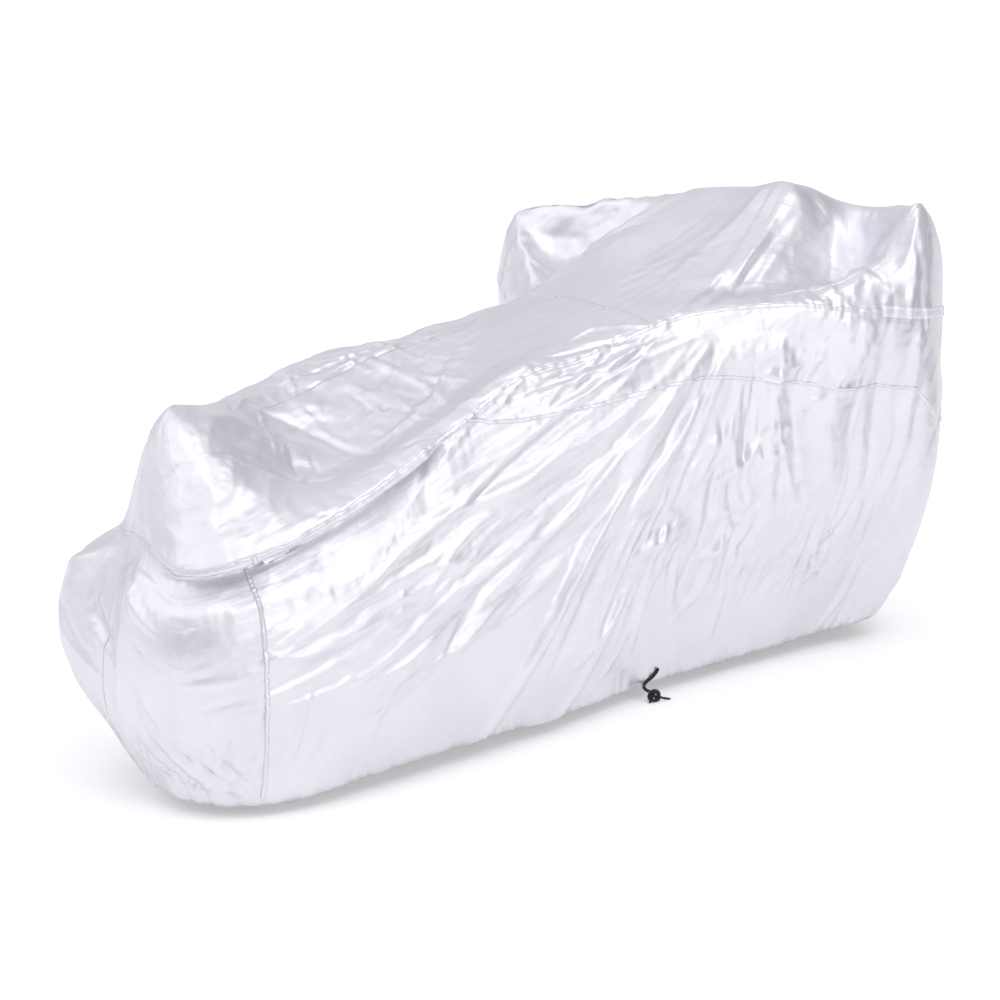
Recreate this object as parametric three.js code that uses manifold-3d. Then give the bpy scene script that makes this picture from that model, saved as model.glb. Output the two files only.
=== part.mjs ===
// Fitted cover for a scooter or small motorcycle, as it hangs on the machine it covers.
// Millimetres. +X runs to the machine's front, +Y to its left side, +Z up.
// The origin lies under the cover's top, over the middle of the saddle, where the machine holds it up.
// Heights in the tables are measured from the ground, and SADDLE_HEIGHT brings them to the origin.

import * as THREE from 'three';
import { mergeVertices } from 'three/addons/utils/BufferGeometryUtils.js';
import Module from 'manifold-3d';

const SADDLE_HEIGHT = 859;
const CLOTH = 2;          // thickness of the coated taffeta, with its seams' turnings
const SEAM_GAP = 0.4;     // between two panels that meet at a seam
const TAPE = { halfWidth: 12, lift: 0.5, thickness: 1.2, from: 640 };
const CORD = { diameter: 4, sides: 8, steps: 16, slit: 0.4 };

const SILVER = { color: 0xd9dae2, roughness: 0.34, metalness: 0.35 };
const TAPE_SILVER = { color: 0xe4e5ea, roughness: 0.42, metalness: 0.25 };
const BLACK_CORD = { color: 0x121214, roughness: 0.7, metalness: 0 };

// Height rings of the cloth from the ground up; the spine joins both sides along the top.
const RINGS = ['hem', 'skirt', 'belly', 'waist', 'tuck', 'seam', 'crest', 'valley', 'ridge'];
const SPINE_RING = RINGS.length;

// The spine: the line along the top where the two sides of the cover meet.
const SPINE = [
  // x, y, height
  [-880, 0, 790],
  [-840, 8, 782],
  [-620, 80, 735],
  [-350, 110, 795],
  [-50, 100, 850],
  [220, 20, 925],
  [420, 0, 992],
  [560, 0, 1060],
  [650, 0, 1106],
  [740, 0, 1097],
  [800, 0, 1080],
];

// Ribs stand upright round the machine. Each row: foot x on the centre plane, the direction it
// faces in degrees from +X, its lean along X at the ground, then reach and height at every ring.
const RIBS = [
  // near side, tail to front
  // x  turn lean   hem      skirt     belly     waist     tuck      seam      crest     valley    ridge
  [-830, -90, -32, 283, 20, 305, 170, 300, 330, 280, 430, 225, 500, 242, 526, 185, 612, 120, 690, 60, 748],
  [-620, -90, 0, 283, 35, 305, 170, 305, 330, 285, 470, 220, 566, 240, 594, 190, 620, 95, 628, 0, 675],
  [-350, -90, 0, 262, 38, 305, 200, 300, 420, 240, 700, 238, 712, 240, 725, 205, 742, 120, 722, 20, 740],
  [-200, -90, 0, 246, 34, 300, 201, 305, 440, 268, 716, 252, 756, 232, 796, 208, 812, 127, 795, 25, 800],
  [-50, -90, 0, 228, 30, 290, 200, 310, 450, 300, 730, 278, 782, 245, 822, 215, 840, 140, 846, 40, 846],
  [220, -90, 0, 183, 30, 240, 200, 310, 450, 333, 760, 325, 820, 285, 888, 258, 901, 205, 910, 120, 917],
  [420, -90, 0, 175, 30, 240, 200, 330, 450, 372, 734, 385, 820, 385, 905, 340, 920, 265, 920, 213, 968],
  [560, -90, 0, 168, 30, 240, 200, 340, 450, 400, 712, 432, 800, 438, 887, 388, 938, 290, 925, 182, 1050],
  [650, -90, 0, 168, 32, 240, 200, 345, 450, 412, 700, 448, 790, 458, 877, 408, 962, 283, 925, 160, 1120],
  [700, -90, 0, 167, 34, 240, 197, 345, 445, 418, 695, 452, 788, 464, 870, 428, 1000, 297, 930, 152, 1114],
  [740, -90, 0, 167, 36, 240, 195, 345, 440, 420, 690, 452, 785, 464, 864, 446, 1096, 300, 975, 148, 1108],
  [800, -90, 0, 172, 40, 235, 190, 335, 420, 415, 680, 448, 780, 458, 857, 432, 1080, 265, 1062, 138, 1085],
  // round the front wheel
  [800, -72, 0, 190, 42, 268, 190, 360, 400, 400, 590, 402, 720, 402, 840, 375, 1000, 245, 1042, 120, 1072],
  [800, -52, 0, 235, 50, 308, 190, 358, 380, 368, 560, 355, 690, 338, 800, 290, 930, 188, 1018, 95, 1060],
  [800, 0, 0, 260, 75, 288, 190, 300, 360, 285, 520, 265, 640, 242, 750, 205, 870, 135, 978, 65, 1050],
  [800, 52, 0, 245, 85, 290, 190, 338, 390, 345, 560, 335, 690, 318, 790, 268, 910, 175, 1003, 88, 1057],
  [800, 74, 0, 215, 88, 265, 195, 330, 400, 362, 580, 368, 700, 355, 810, 288, 940, 190, 1023, 100, 1066],
  // far side, front to tail
  [800, 90, 0, 200, 90, 245, 200, 310, 410, 355, 600, 370, 720, 362, 820, 285, 960, 180, 1036, 90, 1074],
  [650, 90, 0, 210, 90, 265, 200, 345, 430, 400, 650, 425, 760, 430, 860, 310, 1030, 185, 1082, 128, 1096],
  [560, 94, 0, 220, 90, 280, 200, 365, 430, 425, 650, 450, 765, 460, 870, 240, 1072, 175, 1062, 136, 1068],
  [490, 98, 0, 225, 90, 290, 200, 380, 430, 440, 650, 467, 770, 481, 880, 318, 1052, 218, 995, 146, 1030],
  [420, 103, 0, 230, 90, 300, 200, 390, 430, 455, 650, 482, 770, 501, 880, 442, 1024, 312, 920, 150, 998],
  [220, 90, 0, 225, 95, 270, 200, 330, 430, 350, 610, 340, 710, 318, 790, 255, 845, 205, 885, 165, 919],
  [-50, 90, 0, 205, 95, 250, 200, 290, 420, 300, 580, 285, 670, 262, 740, 205, 820, 178, 834, 150, 845],
  [-350, 90, 0, 195, 95, 235, 200, 270, 400, 280, 540, 270, 620, 250, 690, 203, 808, 182, 815, 152, 810],
  [-620, 90, 0, 205, 110, 250, 210, 280, 380, 280, 480, 265, 550, 240, 610, 180, 748, 155, 766, 122, 760],
  [-830, 90, 0, 235, 150, 265, 240, 285, 360, 275, 440, 250, 492, 200, 545, 150, 645, 104, 718, 52, 766],
  // round the tail and the rear wheel
  [-880, 110, 0, 185, 165, 245, 250, 278, 350, 272, 425, 232, 482, 160, 535, 118, 630, 80, 710, 38, 765],
  [-880, 132, 0, 165, 165, 238, 235, 272, 325, 268, 425, 215, 480, 126, 528, 92, 620, 66, 702, 33, 763],
  [-880, 155, 0, 140, 130, 205, 205, 232, 300, 198, 405, 146, 480, 104, 533, 82, 620, 60, 702, 32, 764],
  [-880, 178, 0, 120, 70, 165, 190, 158, 310, 135, 420, 118, 490, 105, 545, 88, 635, 62, 712, 32, 766],
  [-880, -160, 0, 118, 40, 180, 165, 205, 300, 178, 430, 138, 495, 115, 542, 92, 632, 66, 708, 34, 765],
  [-880, -140, 0, 148, 32, 222, 160, 258, 310, 235, 430, 178, 495, 148, 532, 115, 624, 76, 702, 40, 762],
  [-880, -120, 0, 192, 25, 262, 165, 282, 320, 260, 420, 213, 478, 224, 492, 150, 608, 94, 695, 48, 758],
  [-880, -104, 0, 232, 22, 287, 165, 293, 330, 274, 430, 218, 492, 240, 508, 172, 602, 110, 692, 54, 753],
];

// Long folds in the cloth: from a point to a point, half width and depth; a negative depth is a
// trough and a positive one a ridge.
const FOLDS = [
  // x1, y1, height1, x2, y2, height2, half width, depth
  [690, -160, 1112, 330, -245, 915, 45, 14],
  [-800, -30, 770, -600, -130, 640, 50, 12],
  [150, -330, 800, -420, -330, 300, 60, -14],
  [250, -330, 780, -150, -340, 170, 55, -14],
  [-40, -300, 700, -640, -320, 330, 60, 12],
  [330, -370, 780, 180, -300, 260, 50, 12],
  [470, -420, 790, 480, -280, 280, 55, -14],
  [560, -430, 800, 560, -320, 380, 50, 14],
  [690, -460, 840, 690, -330, 330, 60, -22],
  [-1000, -40, 200, -960, -60, 560, 60, -14],
  [-700, -300, 480, -1010, -120, 250, 55, 8],
];

// The two strands of the elastic drawcord: out of the slit above the hem, down over the hem and
// into the knot that lies on the ground. x, y, height of points along each strand.
const CORD_STRANDS = {
  drawcord_inner: [
    [226.5, -200, 71], [226, -198.9, 67.5], [224.5, -197.7, 63.5], [222, -196.3, 59],
    [218, -195.2, 54.5], [213, -194.6, 51], [207, -194.1, 48], [201, -193.9, 45.5],
    [195, -194.3, 43], [189.5, -195.6, 40], [186, -197.8, 36.5], [185, -200.6, 32.5],
    [187, -203.6, 28.5], [191, -206.4, 25], [196, -208.6, 21.5], [201, -210, 18.5],
  ],
  drawcord_outer: [
    [232, -198.9, 68.5], [231.3, -197.7, 64.5], [229.5, -196.4, 60], [226.5, -195.1, 55.5],
    [222.5, -193.9, 51], [217.5, -193, 47.2], [211.5, -192.4, 44], [205.5, -192.2, 41.2],
    [199.5, -192.8, 38.4], [194.8, -194.6, 35.4], [192, -197.5, 32.2], [192, -200.7, 29.2],
    [194.8, -203.2, 27], [199.5, -205.2, 24.6], [204.5, -207, 22],
  ],
};

// Turns of the drawcord's knot and its trimmed end: centre, radii, and turn about the upright.
const KNOT_LUMPS = [
  // x, y, height, rx, ry, rz, turn
  [208, -212, 14, 10, 9, 9, 0],
  [195, -215, 10, 9, 7, 7.5, 20],
  [219, -207, 18.5, 9, 6.5, 6, 35],
  [221, -219, 8.5, 9, 6, 6, -20],
  [233, -225, 5.5, 10, 2.6, 2.6, -22],
];

// Stations where the cloth's sections are taken, the same on both sides so that they meet on the
// spine, and the turns taken round the front and the rear.
const SIDE_STEPS = [
  // x from, x to, steps
  [-830, -350, 9],
  [-350, 130, 8],
  [130, 220, 2],
  [220, 560, 7],
  [560, 800, 6],
];
const FRONT_TURNS = [-72, -52, -35, -18, 0, 18, 35, 52, 74];
const REAR_TURNS = [110, 121, 132, 143, 155, 166, 178, -171, -160, -150, -140, -130, -120, -104];
const ROWS_PER_RING = [3, 4, 4, 2, 1, 2, 2, 2, 2];

const vector = (x, y, z) => new THREE.Vector3(x, y, z);

// Smooth curve through a and b at knots ka and kb, with the neighbours before and after them.
function smooth(before, a, b, after, kBefore, ka, kb, kAfter, k) {
  const span = kb - ka;
  const t = (k - ka) / span;
  const slopeA = b.clone().sub(before).multiplyScalar(span / (kb - kBefore));
  const slopeB = after.clone().sub(a).multiplyScalar(span / (kAfter - ka));
  const rise = t * t * (3 - 2 * t);
  return a.clone().multiplyScalar(1 - rise)
    .addScaledVector(b, rise)
    .addScaledVector(slopeA, t * (1 - t) * (1 - t))
    .addScaledVector(slopeB, t * t * (t - 1));
}

function spinePoint(x) {
  const points = SPINE.map(([px, py, height]) => vector(px, py, height));
  const last = points.length - 1;
  let i = points.findIndex((point) => point.x > x) - 1;
  if (x >= points[last].x) i = last - 1;
  if (i < 0) i = 0;
  const before = points[Math.max(i - 1, 0)];
  const after = points[Math.min(i + 2, last)];
  const [a, b] = [points[i], points[i + 1]];
  return smooth(before, a, b, after, before.x, a.x, b.x, after.x, x);
}

// Points of one rib, from the hem ring to the ridge ring.
function ribPoints([footX, turn, lean, ...pairs]) {
  const angle = THREE.MathUtils.degToRad(turn);
  return RINGS.map((name, ring) => {
    const [reach, height] = [pairs[2 * ring], pairs[2 * ring + 1]];
    const shift = lean * (1 - height / SADDLE_HEIGHT);
    return vector(footX + reach * Math.cos(angle) + shift, reach * Math.sin(angle), height);
  });
}

const ribs = RIBS.map((row) => ({ x: row[0], turn: row[1], points: ribPoints(row) }));
const KNOT_RING = RINGS.indexOf('belly');
const knots = [0];
ribs.forEach((rib, i) => {
  const next = ribs[(i + 1) % ribs.length];
  knots.push(knots[i] + rib.points[KNOT_RING].distanceTo(next.points[KNOT_RING]));
});
const loopLength = knots[ribs.length];

function knotOf(i) {
  const laps = Math.floor(i / ribs.length);
  return knots[i - laps * ribs.length] + laps * loopLength;
}

// The loop round the machine is counted in ribs: place 2.5 is halfway from rib 2 to rib 3.
function ringPoint(ring, place) {
  const i = Math.floor(place);
  const at = (k) => ribs[((k % ribs.length) + ribs.length) % ribs.length].points[ring];
  const [ka, kb] = [knotOf(i), knotOf(i + 1)];
  const k = ka + (place - i) * (kb - ka);
  return smooth(at(i - 1), at(i), at(i + 1), at(i + 2), knotOf(i - 1), ka, kb, knotOf(i + 2), k);
}

function placeOnSide(x, side) {
  const onSide = ribs.map((rib, i) => i).filter((i) => Math.sign(ribs[i].turn) === side
    && Math.abs(Math.abs(ribs[i].turn) - 90) < 14);
  for (let n = 0; n + 1 < onSide.length; n += 1) {
    const [i, j] = [onSide[n], onSide[n + 1]];
    const t = (x - ribs[i].x) / (ribs[j].x - ribs[i].x);
    if (t >= 0 && t <= 1) return i + t;
  }
  throw new Error(`no rib beside x ${x}`);
}

const turnFrom = (start, end) => ((end - start) % 360 + 360) % 360;

function placeOfTurn(x, turn) {
  const fan = ribs.map((rib, i) => i).filter((i) => ribs[i].x === x);
  const i = fan.findLast((n) => turnFrom(ribs[fan[0]].turn, turn) >= turnFrom(ribs[fan[0]].turn, ribs[n].turn));
  const passed = turnFrom(ribs[i].turn, turn);
  return passed ? i + passed / turnFrom(ribs[i].turn, ribs[i + 1].turn) : i;
}

// A station is one upright section of the cloth: its place on the loop and where it meets the spine.
const sideXs = [];
SIDE_STEPS.forEach(([from, to, steps]) => {
  for (let n = 0; n < steps; n += 1) sideXs.push(from + (to - from) * n / steps);
});
sideXs.push(SIDE_STEPS[SIDE_STEPS.length - 1][1]);

const FRONT_X = 800;
const REAR_X = -880;
const POLE_STEP = 60;
const stations = [
  ...sideXs.map((x) => ({ place: placeOnSide(x, -1), x, side: -1 })),
  ...FRONT_TURNS.map((turn) => ({ place: placeOfTurn(FRONT_X, turn), x: FRONT_X, side: 0, beyond: -POLE_STEP })),
  ...[...sideXs].reverse().map((x) => ({ place: placeOnSide(x, 1), x, side: 1 })),
  ...REAR_TURNS.map((turn) => ({ place: placeOfTurn(REAR_X, turn), x: REAR_X, side: 0, beyond: POLE_STEP })),
];

// Section of the cloth at a station: its ring points, the spine and one point past the spine.
function section(station) {
  const points = RINGS.map((name, ring) => ringPoint(ring, station.place));
  points.push(spinePoint(station.x));
  if (station.side) {
    points.push(ringPoint(SPINE_RING - 1, placeOnSide(station.x, -station.side)));
  } else {
    points.push(spinePoint(station.x + station.beyond));
  }
  return points;
}

function sectionRows(station) {
  const points = section(station);
  const below = points[0].clone().multiplyScalar(2).sub(points[1]);
  const at = (k) => (k < 0 ? below : points[k]);
  const rows = [];
  ROWS_PER_RING.forEach((count, ring) => {
    const [before, a, b, after] = [at(ring - 1), at(ring), at(ring + 1), at(ring + 2)];
    const kBefore = -before.distanceTo(a);
    const span = a.distanceTo(b);
    for (let n = 0; n < count; n += 1) {
      const k = span * n / count;
      rows.push(smooth(before, a, b, after, kBefore, 0, span, span + b.distanceTo(after), k));
    }
  });
  rows.push(points[SPINE_RING].clone());
  return rows;
}

// How far the folds move a point of the cloth in or out.
function foldDepth(point) {
  let depth = 0;
  FOLDS.forEach(([x1, y1, h1, x2, y2, h2, halfWidth, height]) => {
    const start = vector(x1, y1, h1);
    const run = vector(x2, y2, h2).sub(start);
    const along = point.clone().sub(start).dot(run) / run.lengthSq();
    if (along < 0 || along > 1) return;
    const away = point.distanceTo(start.addScaledVector(run, along)) / halfWidth;
    if (away < 1) depth += height * Math.sin(Math.PI * along) ** 0.5 * (1 - away * away) ** 2;
  });
  return depth;
}

// The whole cloth as one surface: welded vertices, and a quad for each pair of stations and rows.
const rowCount = ROWS_PER_RING.reduce((sum, count) => sum + count, 0) + 1;
const cloth = { points: [], normals: [] };
const spineIds = new Map();
const ids = stations.map((station) => sectionRows(station).map((point, row) => {
  if (row === rowCount - 1) {
    if (!spineIds.has(station.x)) spineIds.set(station.x, cloth.points.push(point) - 1);
    return spineIds.get(station.x);
  }
  return cloth.points.push(point) - 1;
}));

function quadTriangles(i, row) {
  const next = (i + 1) % stations.length;
  const [a, b, c, d] = [ids[i][row], ids[next][row], ids[next][row + 1], ids[i][row + 1]];
  return [[a, b, c], [a, c, d]].filter(([p, q, r]) => p !== q && q !== r && r !== p);
}

function allTriangles() {
  const triangles = [];
  stations.forEach((station, i) => {
    for (let row = 0; row + 1 < rowCount; row += 1) triangles.push(...quadTriangles(i, row));
  });
  return triangles;
}

function surfaceNormals() {
  const normals = cloth.points.map(() => vector(0, 0, 0));
  allTriangles().forEach((triangle) => {
    const [p, q, r] = triangle.map((id) => cloth.points[id]);
    const area = q.clone().sub(p).cross(r.clone().sub(p));
    triangle.forEach((id) => normals[id].add(area));
  });
  return normals.map((normal) => normal.normalize());
}

surfaceNormals().forEach((normal, id) => cloth.points[id].addScaledVector(normal, foldDepth(cloth.points[id])));
cloth.normals = surfaceNormals();

// Edges of the triangles that no second triangle shares.
function borderOf(triangles) {
  const edges = new Map();
  triangles.forEach((triangle) => triangle.forEach((id, n) => {
    const next = triangle[(n + 1) % 3];
    edges.set(`${id} ${next}`, [id, next]);
  }));
  return [...edges.values()].filter(([a, b]) => !edges.has(`${b} ${a}`));
}

// How far each border point is drawn back from the seam, square to the border's edges.
function drawnBack(border) {
  const pull = new Map();
  border.forEach(([a, b]) => {
    const run = cloth.points[b].clone().sub(cloth.points[a]).normalize();
    [a, b].forEach((id) => {
      if (!pull.has(id)) pull.set(id, []);
      pull.get(id).push(cloth.normals[id].clone().cross(run).normalize());
    });
  });
  pull.forEach((sides, id) => {
    const middle = sides[0].clone().add(sides[1]).normalize();
    pull.set(id, middle.multiplyScalar(SEAM_GAP / 2 / Math.max(middle.dot(sides[0]), 0.4)));
  });
  return pull;
}

// A closed sheet from triangles of the cloth, drawn back a little from its seams.
function sheetGeometry(triangles) {
  const border = borderOf(triangles);
  const pull = drawnBack(border);
  const index = new Map();
  const positions = [];
  new Set(triangles.flat()).forEach((id) => {
    index.set(id, index.size);
    const outer = cloth.points[id].clone();
    if (pull.has(id)) outer.add(pull.get(id));
    const inner = outer.clone().addScaledVector(cloth.normals[id], -CLOTH);
    positions.push(...outer.toArray(), ...inner.toArray());
  });
  const outer = (id) => 2 * index.get(id);
  const inner = (id) => 2 * index.get(id) + 1;
  const faces = [];
  triangles.forEach(([a, b, c]) => {
    faces.push(outer(a), outer(b), outer(c));
    faces.push(inner(a), inner(c), inner(b));
  });
  border.forEach(([a, b]) => {
    faces.push(outer(a), inner(a), inner(b));
    faces.push(outer(a), inner(b), outer(b));
  });
  const geometry = new THREE.BufferGeometry();
  geometry.setAttribute('position', new THREE.Float32BufferAttribute(positions, 3));
  geometry.setIndex(faces);
  geometry.computeVertexNormals();
  return geometry;
}

// Where the seams run: rows of the rings, and stations of the upright seams.
const rowOf = (name) => ROWS_PER_RING.slice(0, RINGS.indexOf(name)).reduce((sum, count) => sum + count, 0);
const WAIST_ROW = rowOf('waist');
const SEAM_ROW = rowOf('seam');
const CREST_ROW = rowOf('crest');
const UPPER_PANEL_START = -350;
const NEAR_POCKET_START = 414;
const FAR_POCKET_START = 366;
const SCREEN_PANEL_START = 130;
const FRONT_SEAM_TURN = 52;

const near = (x) => stations.findIndex((station) => station.side === -1 && station.x >= x);
const far = (x) => stations.findLastIndex((station) => station.side === 1 && station.x >= x);
const turned = (turn) => sideXs.length + FRONT_TURNS.indexOf(turn);

const seams = {
  rearNear: near(sideXs[0]),
  rearFar: far(sideXs[0]),
  frontNear: turned(-FRONT_SEAM_TURN),
  frontFar: turned(FRONT_SEAM_TURN),
  upperNear: near(UPPER_PANEL_START),
  upperFar: far(UPPER_PANEL_START),
  pocketNear: near(NEAR_POCKET_START),
  pocketFar: far(FAR_POCKET_START),
  screenNear: near(SCREEN_PANEL_START),
  screenFar: far(SCREEN_PANEL_START),
};

function panelOf(i, row) {
  const onNear = i >= seams.rearNear && i < seams.frontNear;
  const onFar = i >= seams.frontFar && i < seams.rearFar;
  if (row >= SEAM_ROW) {
    const inPocketRows = row < CREST_ROW;
    if (inPocketRows && onNear && i >= seams.pocketNear) return 'bar_pocket_near';
    if (inPocketRows && onFar && i < seams.pocketFar) return 'bar_pocket_far';
    return i >= seams.screenNear && i < seams.screenFar ? 'screen_panel' : 'saddle_panel';
  }
  if (onNear) return row >= WAIST_ROW && i >= seams.upperNear ? 'upper_side_near' : 'side_panel_near';
  if (onFar) return row >= WAIST_ROW && i < seams.upperFar ? 'upper_side_far' : 'side_panel_far';
  return i >= seams.frontNear && i < seams.frontFar ? 'front_panel' : 'rear_panel';
}

function clothPanels() {
  const panels = new Map();
  stations.forEach((station, i) => {
    for (let row = 0; row + 1 < rowCount; row += 1) {
      const name = panelOf(i, row);
      if (!panels.has(name)) panels.set(name, []);
      panels.get(name).push(...quadTriangles(i, row));
    }
  });
  return [...panels].map(([name, triangles]) => named(name, sheetGeometry(triangles), SILVER));
}

function named(name, geometry, finish) {
  const mesh = new THREE.Mesh(geometry, new THREE.MeshStandardMaterial(finish));
  mesh.name = name;
  return mesh;
}

// The tape sewn over the seam below each handlebar pocket. It lies on the facets on both sides of
// the seam, so its edge has a point on every facet edge that it crosses.
function tapeStrip(first, last) {
  const down = SEAM_ROW - 1;
  const up = SEAM_ROW + 1;
  const across = (i, from, row) => {
    const start = cloth.points[ids[i][from]];
    const end = cloth.points[ids[i][row]];
    return TAPE.halfWidth / start.distanceTo(end);
  };
  const between = (idA, idB, t) => ({
    point: cloth.points[idA].clone().lerp(cloth.points[idB], t),
    normal: cloth.normals[idA].clone().lerp(cloth.normals[idB], t).normalize(),
  });
  const strip = { lower: [], middle: [], upper: [] };
  for (let i = first; i <= last; i += 1) {
    const seamId = ids[i][SEAM_ROW];
    strip.lower.push(between(seamId, ids[i][down], across(i, SEAM_ROW, down)));
    strip.middle.push(between(seamId, seamId, 0));
    strip.upper.push(between(seamId, ids[i][up], across(i, SEAM_ROW, up)));
    if (i < last) {
      // where the edge crosses the diagonal of a quad
      strip.upper.push(between(seamId, ids[i + 1][up], across(i, SEAM_ROW, up)));
      strip.lower.push(between(ids[i + 1][SEAM_ROW], ids[i][down], across(i + 1, SEAM_ROW, down)));
      strip.middle.push(null);
    }
  }
  return strip;
}

function tapeGeometry(first, last) {
  const { lower, middle, upper } = tapeStrip(first, last);
  const positions = [];
  const add = ({ point, normal }) => {
    const bottom = point.clone().addScaledVector(normal, TAPE.lift);
    positions.push(...bottom.toArray(), ...bottom.addScaledVector(normal, TAPE.thickness).toArray());
    return positions.length / 3 - 2;
  };
  const index = {
    lower: lower.map(add),
    middle: middle.map((entry) => entry && add(entry)),
    upper: upper.map(add),
  };
  const triangles = [];
  for (let n = 0; n + 2 < upper.length; n += 2) {
    const [m, mNext] = [index.middle[n], index.middle[n + 2]];
    const [u, uCross, uNext] = index.upper.slice(n, n + 3);
    const [l, lCross, lNext] = index.lower.slice(n, n + 3);
    triangles.push([m, mNext, uNext], [m, uNext, uCross], [m, uCross, u]);
    triangles.push([mNext, m, l], [mNext, l, lCross], [mNext, lCross, lNext]);
  }
  const faces = [];
  triangles.forEach(([a, b, c]) => faces.push(a + 1, b + 1, c + 1, a, c, b));
  borderOf(triangles).forEach(([a, b]) => faces.push(a + 1, a, b, a + 1, b, b + 1));
  const geometry = new THREE.BufferGeometry();
  geometry.setAttribute('position', new THREE.Float32BufferAttribute(positions, 3));
  geometry.setIndex(faces);
  geometry.computeVertexNormals();
  return geometry;
}

// A round strand through the points of a route.
function strandGeometry(route, diameter) {
  const curve = new THREE.CatmullRomCurve3(route.map((point) => vector(...point)));
  const section = new THREE.Shape();
  for (let n = 0; n < CORD.sides; n += 1) {
    const angle = 2 * Math.PI * n / CORD.sides;
    const [x, y] = [diameter / 2 * Math.cos(angle), diameter / 2 * Math.sin(angle)];
    if (n) section.lineTo(x, y);
    else section.moveTo(x, y);
  }
  section.closePath();
  return new THREE.ExtrudeGeometry(section, { steps: CORD.steps, extrudePath: curve, bevelEnabled: false });
}

const wasm = await Module();
wasm.setup();

function solidOf(geometry) {
  const bare = geometry.clone();
  bare.deleteAttribute('normal');
  bare.deleteAttribute('uv');
  const merged = mergeVertices(bare, 1e-3);
  return new wasm.Manifold(new wasm.Mesh({
    numProp: 3,
    vertProperties: new Float32Array(merged.attributes.position.array),
    triVerts: new Uint32Array(merged.index.array),
  }));
}

function geometryOf(solid) {
  const { vertProperties, triVerts } = solid.getMesh();
  const geometry = new THREE.BufferGeometry();
  geometry.setAttribute('position', new THREE.BufferAttribute(new Float32Array(vertProperties), 3));
  geometry.setIndex(new THREE.BufferAttribute(new Uint32Array(triVerts), 1));
  geometry.computeVertexNormals();
  return geometry;
}

// The knot: its turns joined, and cut back where the strands run into it.
function knotGeometry() {
  const lumps = KNOT_LUMPS.map(([x, y, height, rx, ry, rz, turn]) => {
    const lump = new THREE.SphereGeometry(1, 10, 6);
    lump.rotateX(Math.PI / 2).scale(rx, ry, rz).rotateZ(THREE.MathUtils.degToRad(turn));
    return solidOf(lump.translate(x, y, height));
  });
  const cutters = Object.values(CORD_STRANDS).map((route) => {
    const [before, end] = route.slice(-2).map((point) => vector(...point));
    const past = end.clone().add(end.clone().sub(before).setLength(CORD.slit));
    return solidOf(strandGeometry([...route.slice(0, -1), past.toArray()], CORD.diameter + 2 * CORD.slit));
  });
  const knot = lumps.reduce((joined, lump) => joined.add(lump));
  return geometryOf(cutters.reduce((cut, cutter) => cut.subtract(cutter), knot));
}

const tapeNear = near(TAPE.from);
const tapeFar = far(TAPE.from);
const cover = new THREE.Group();
cover.add(...clothPanels());
cover.add(named('pocket_tape_near', tapeGeometry(tapeNear, turned(-72)), TAPE_SILVER));
cover.add(named('pocket_tape_far', tapeGeometry(turned(74), tapeFar), TAPE_SILVER));
Object.entries(CORD_STRANDS).forEach(([name, route]) => {
  cover.add(named(name, strandGeometry(route, CORD.diameter), BLACK_CORD));
});
cover.add(named('drawcord_knot', knotGeometry(), BLACK_CORD));
cover.position.z = -SADDLE_HEIGHT;

export default cover;
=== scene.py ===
import itertools
import math

import bpy
import numpy as np
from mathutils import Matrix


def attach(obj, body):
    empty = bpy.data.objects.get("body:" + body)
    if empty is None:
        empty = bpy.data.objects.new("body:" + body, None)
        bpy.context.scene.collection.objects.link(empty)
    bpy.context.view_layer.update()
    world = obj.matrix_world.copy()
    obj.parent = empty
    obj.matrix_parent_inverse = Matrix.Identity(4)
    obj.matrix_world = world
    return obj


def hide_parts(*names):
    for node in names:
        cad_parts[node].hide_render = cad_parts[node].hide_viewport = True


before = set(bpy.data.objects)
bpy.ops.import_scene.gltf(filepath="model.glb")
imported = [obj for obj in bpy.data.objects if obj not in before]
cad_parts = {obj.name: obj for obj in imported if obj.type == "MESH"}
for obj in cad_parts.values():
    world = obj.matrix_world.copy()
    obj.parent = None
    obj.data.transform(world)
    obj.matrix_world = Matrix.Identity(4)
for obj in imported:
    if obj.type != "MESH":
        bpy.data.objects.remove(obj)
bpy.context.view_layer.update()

# Fitted cover of silver-coated taffeta, draped over a scooter or small motorcycle.
# Metres. +X runs to the machine's front, +Y to its left side. The origin is over the saddle,
# so the ground is SADDLE_HEIGHT below it. The tables are in millimetres, from the ground up.

MM = 0.001
SADDLE_HEIGHT = 0.859
CLOTH = 0.0012


def from_ground(points):
    """Points in millimetres above the ground, as metres in the frame."""
    return np.array(points, float) * MM - [0, 0, SADDLE_HEIGHT]


# ---------------------------------------------------------------- camera

def add_camera():
    data = bpy.data.cameras.new("camera")
    data.lens = 82.8
    data.sensor_width = 36
    data.clip_end = 300
    camera = bpy.data.objects.new("camera", data)
    camera.location = (-3.10, -3.88, 0.861)
    camera.rotation_euler = (math.radians(90 - 14.25), 0, math.radians(-38))
    bpy.context.collection.objects.link(camera)
    bpy.context.scene.camera = camera


add_camera()

# ---------------------------------------------------------------- shapes and materials in general

def smooth(before, a, b, after, k_before, ka, kb, k_after, k):
    """Smooth curve through a and b at knots ka and kb, with the neighbours before and after them."""
    span = kb - ka
    t = (k - ka) / span
    slope_a = (b - before) * (span / (kb - k_before))
    slope_b = (after - a) * (span / (k_after - ka))
    rise = t * t * (3 - 2 * t)
    bend = slope_a * (t * (1 - t) ** 2) + slope_b * (t * t * (t - 1))
    return a * (1 - rise) + b * rise + bend

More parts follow.
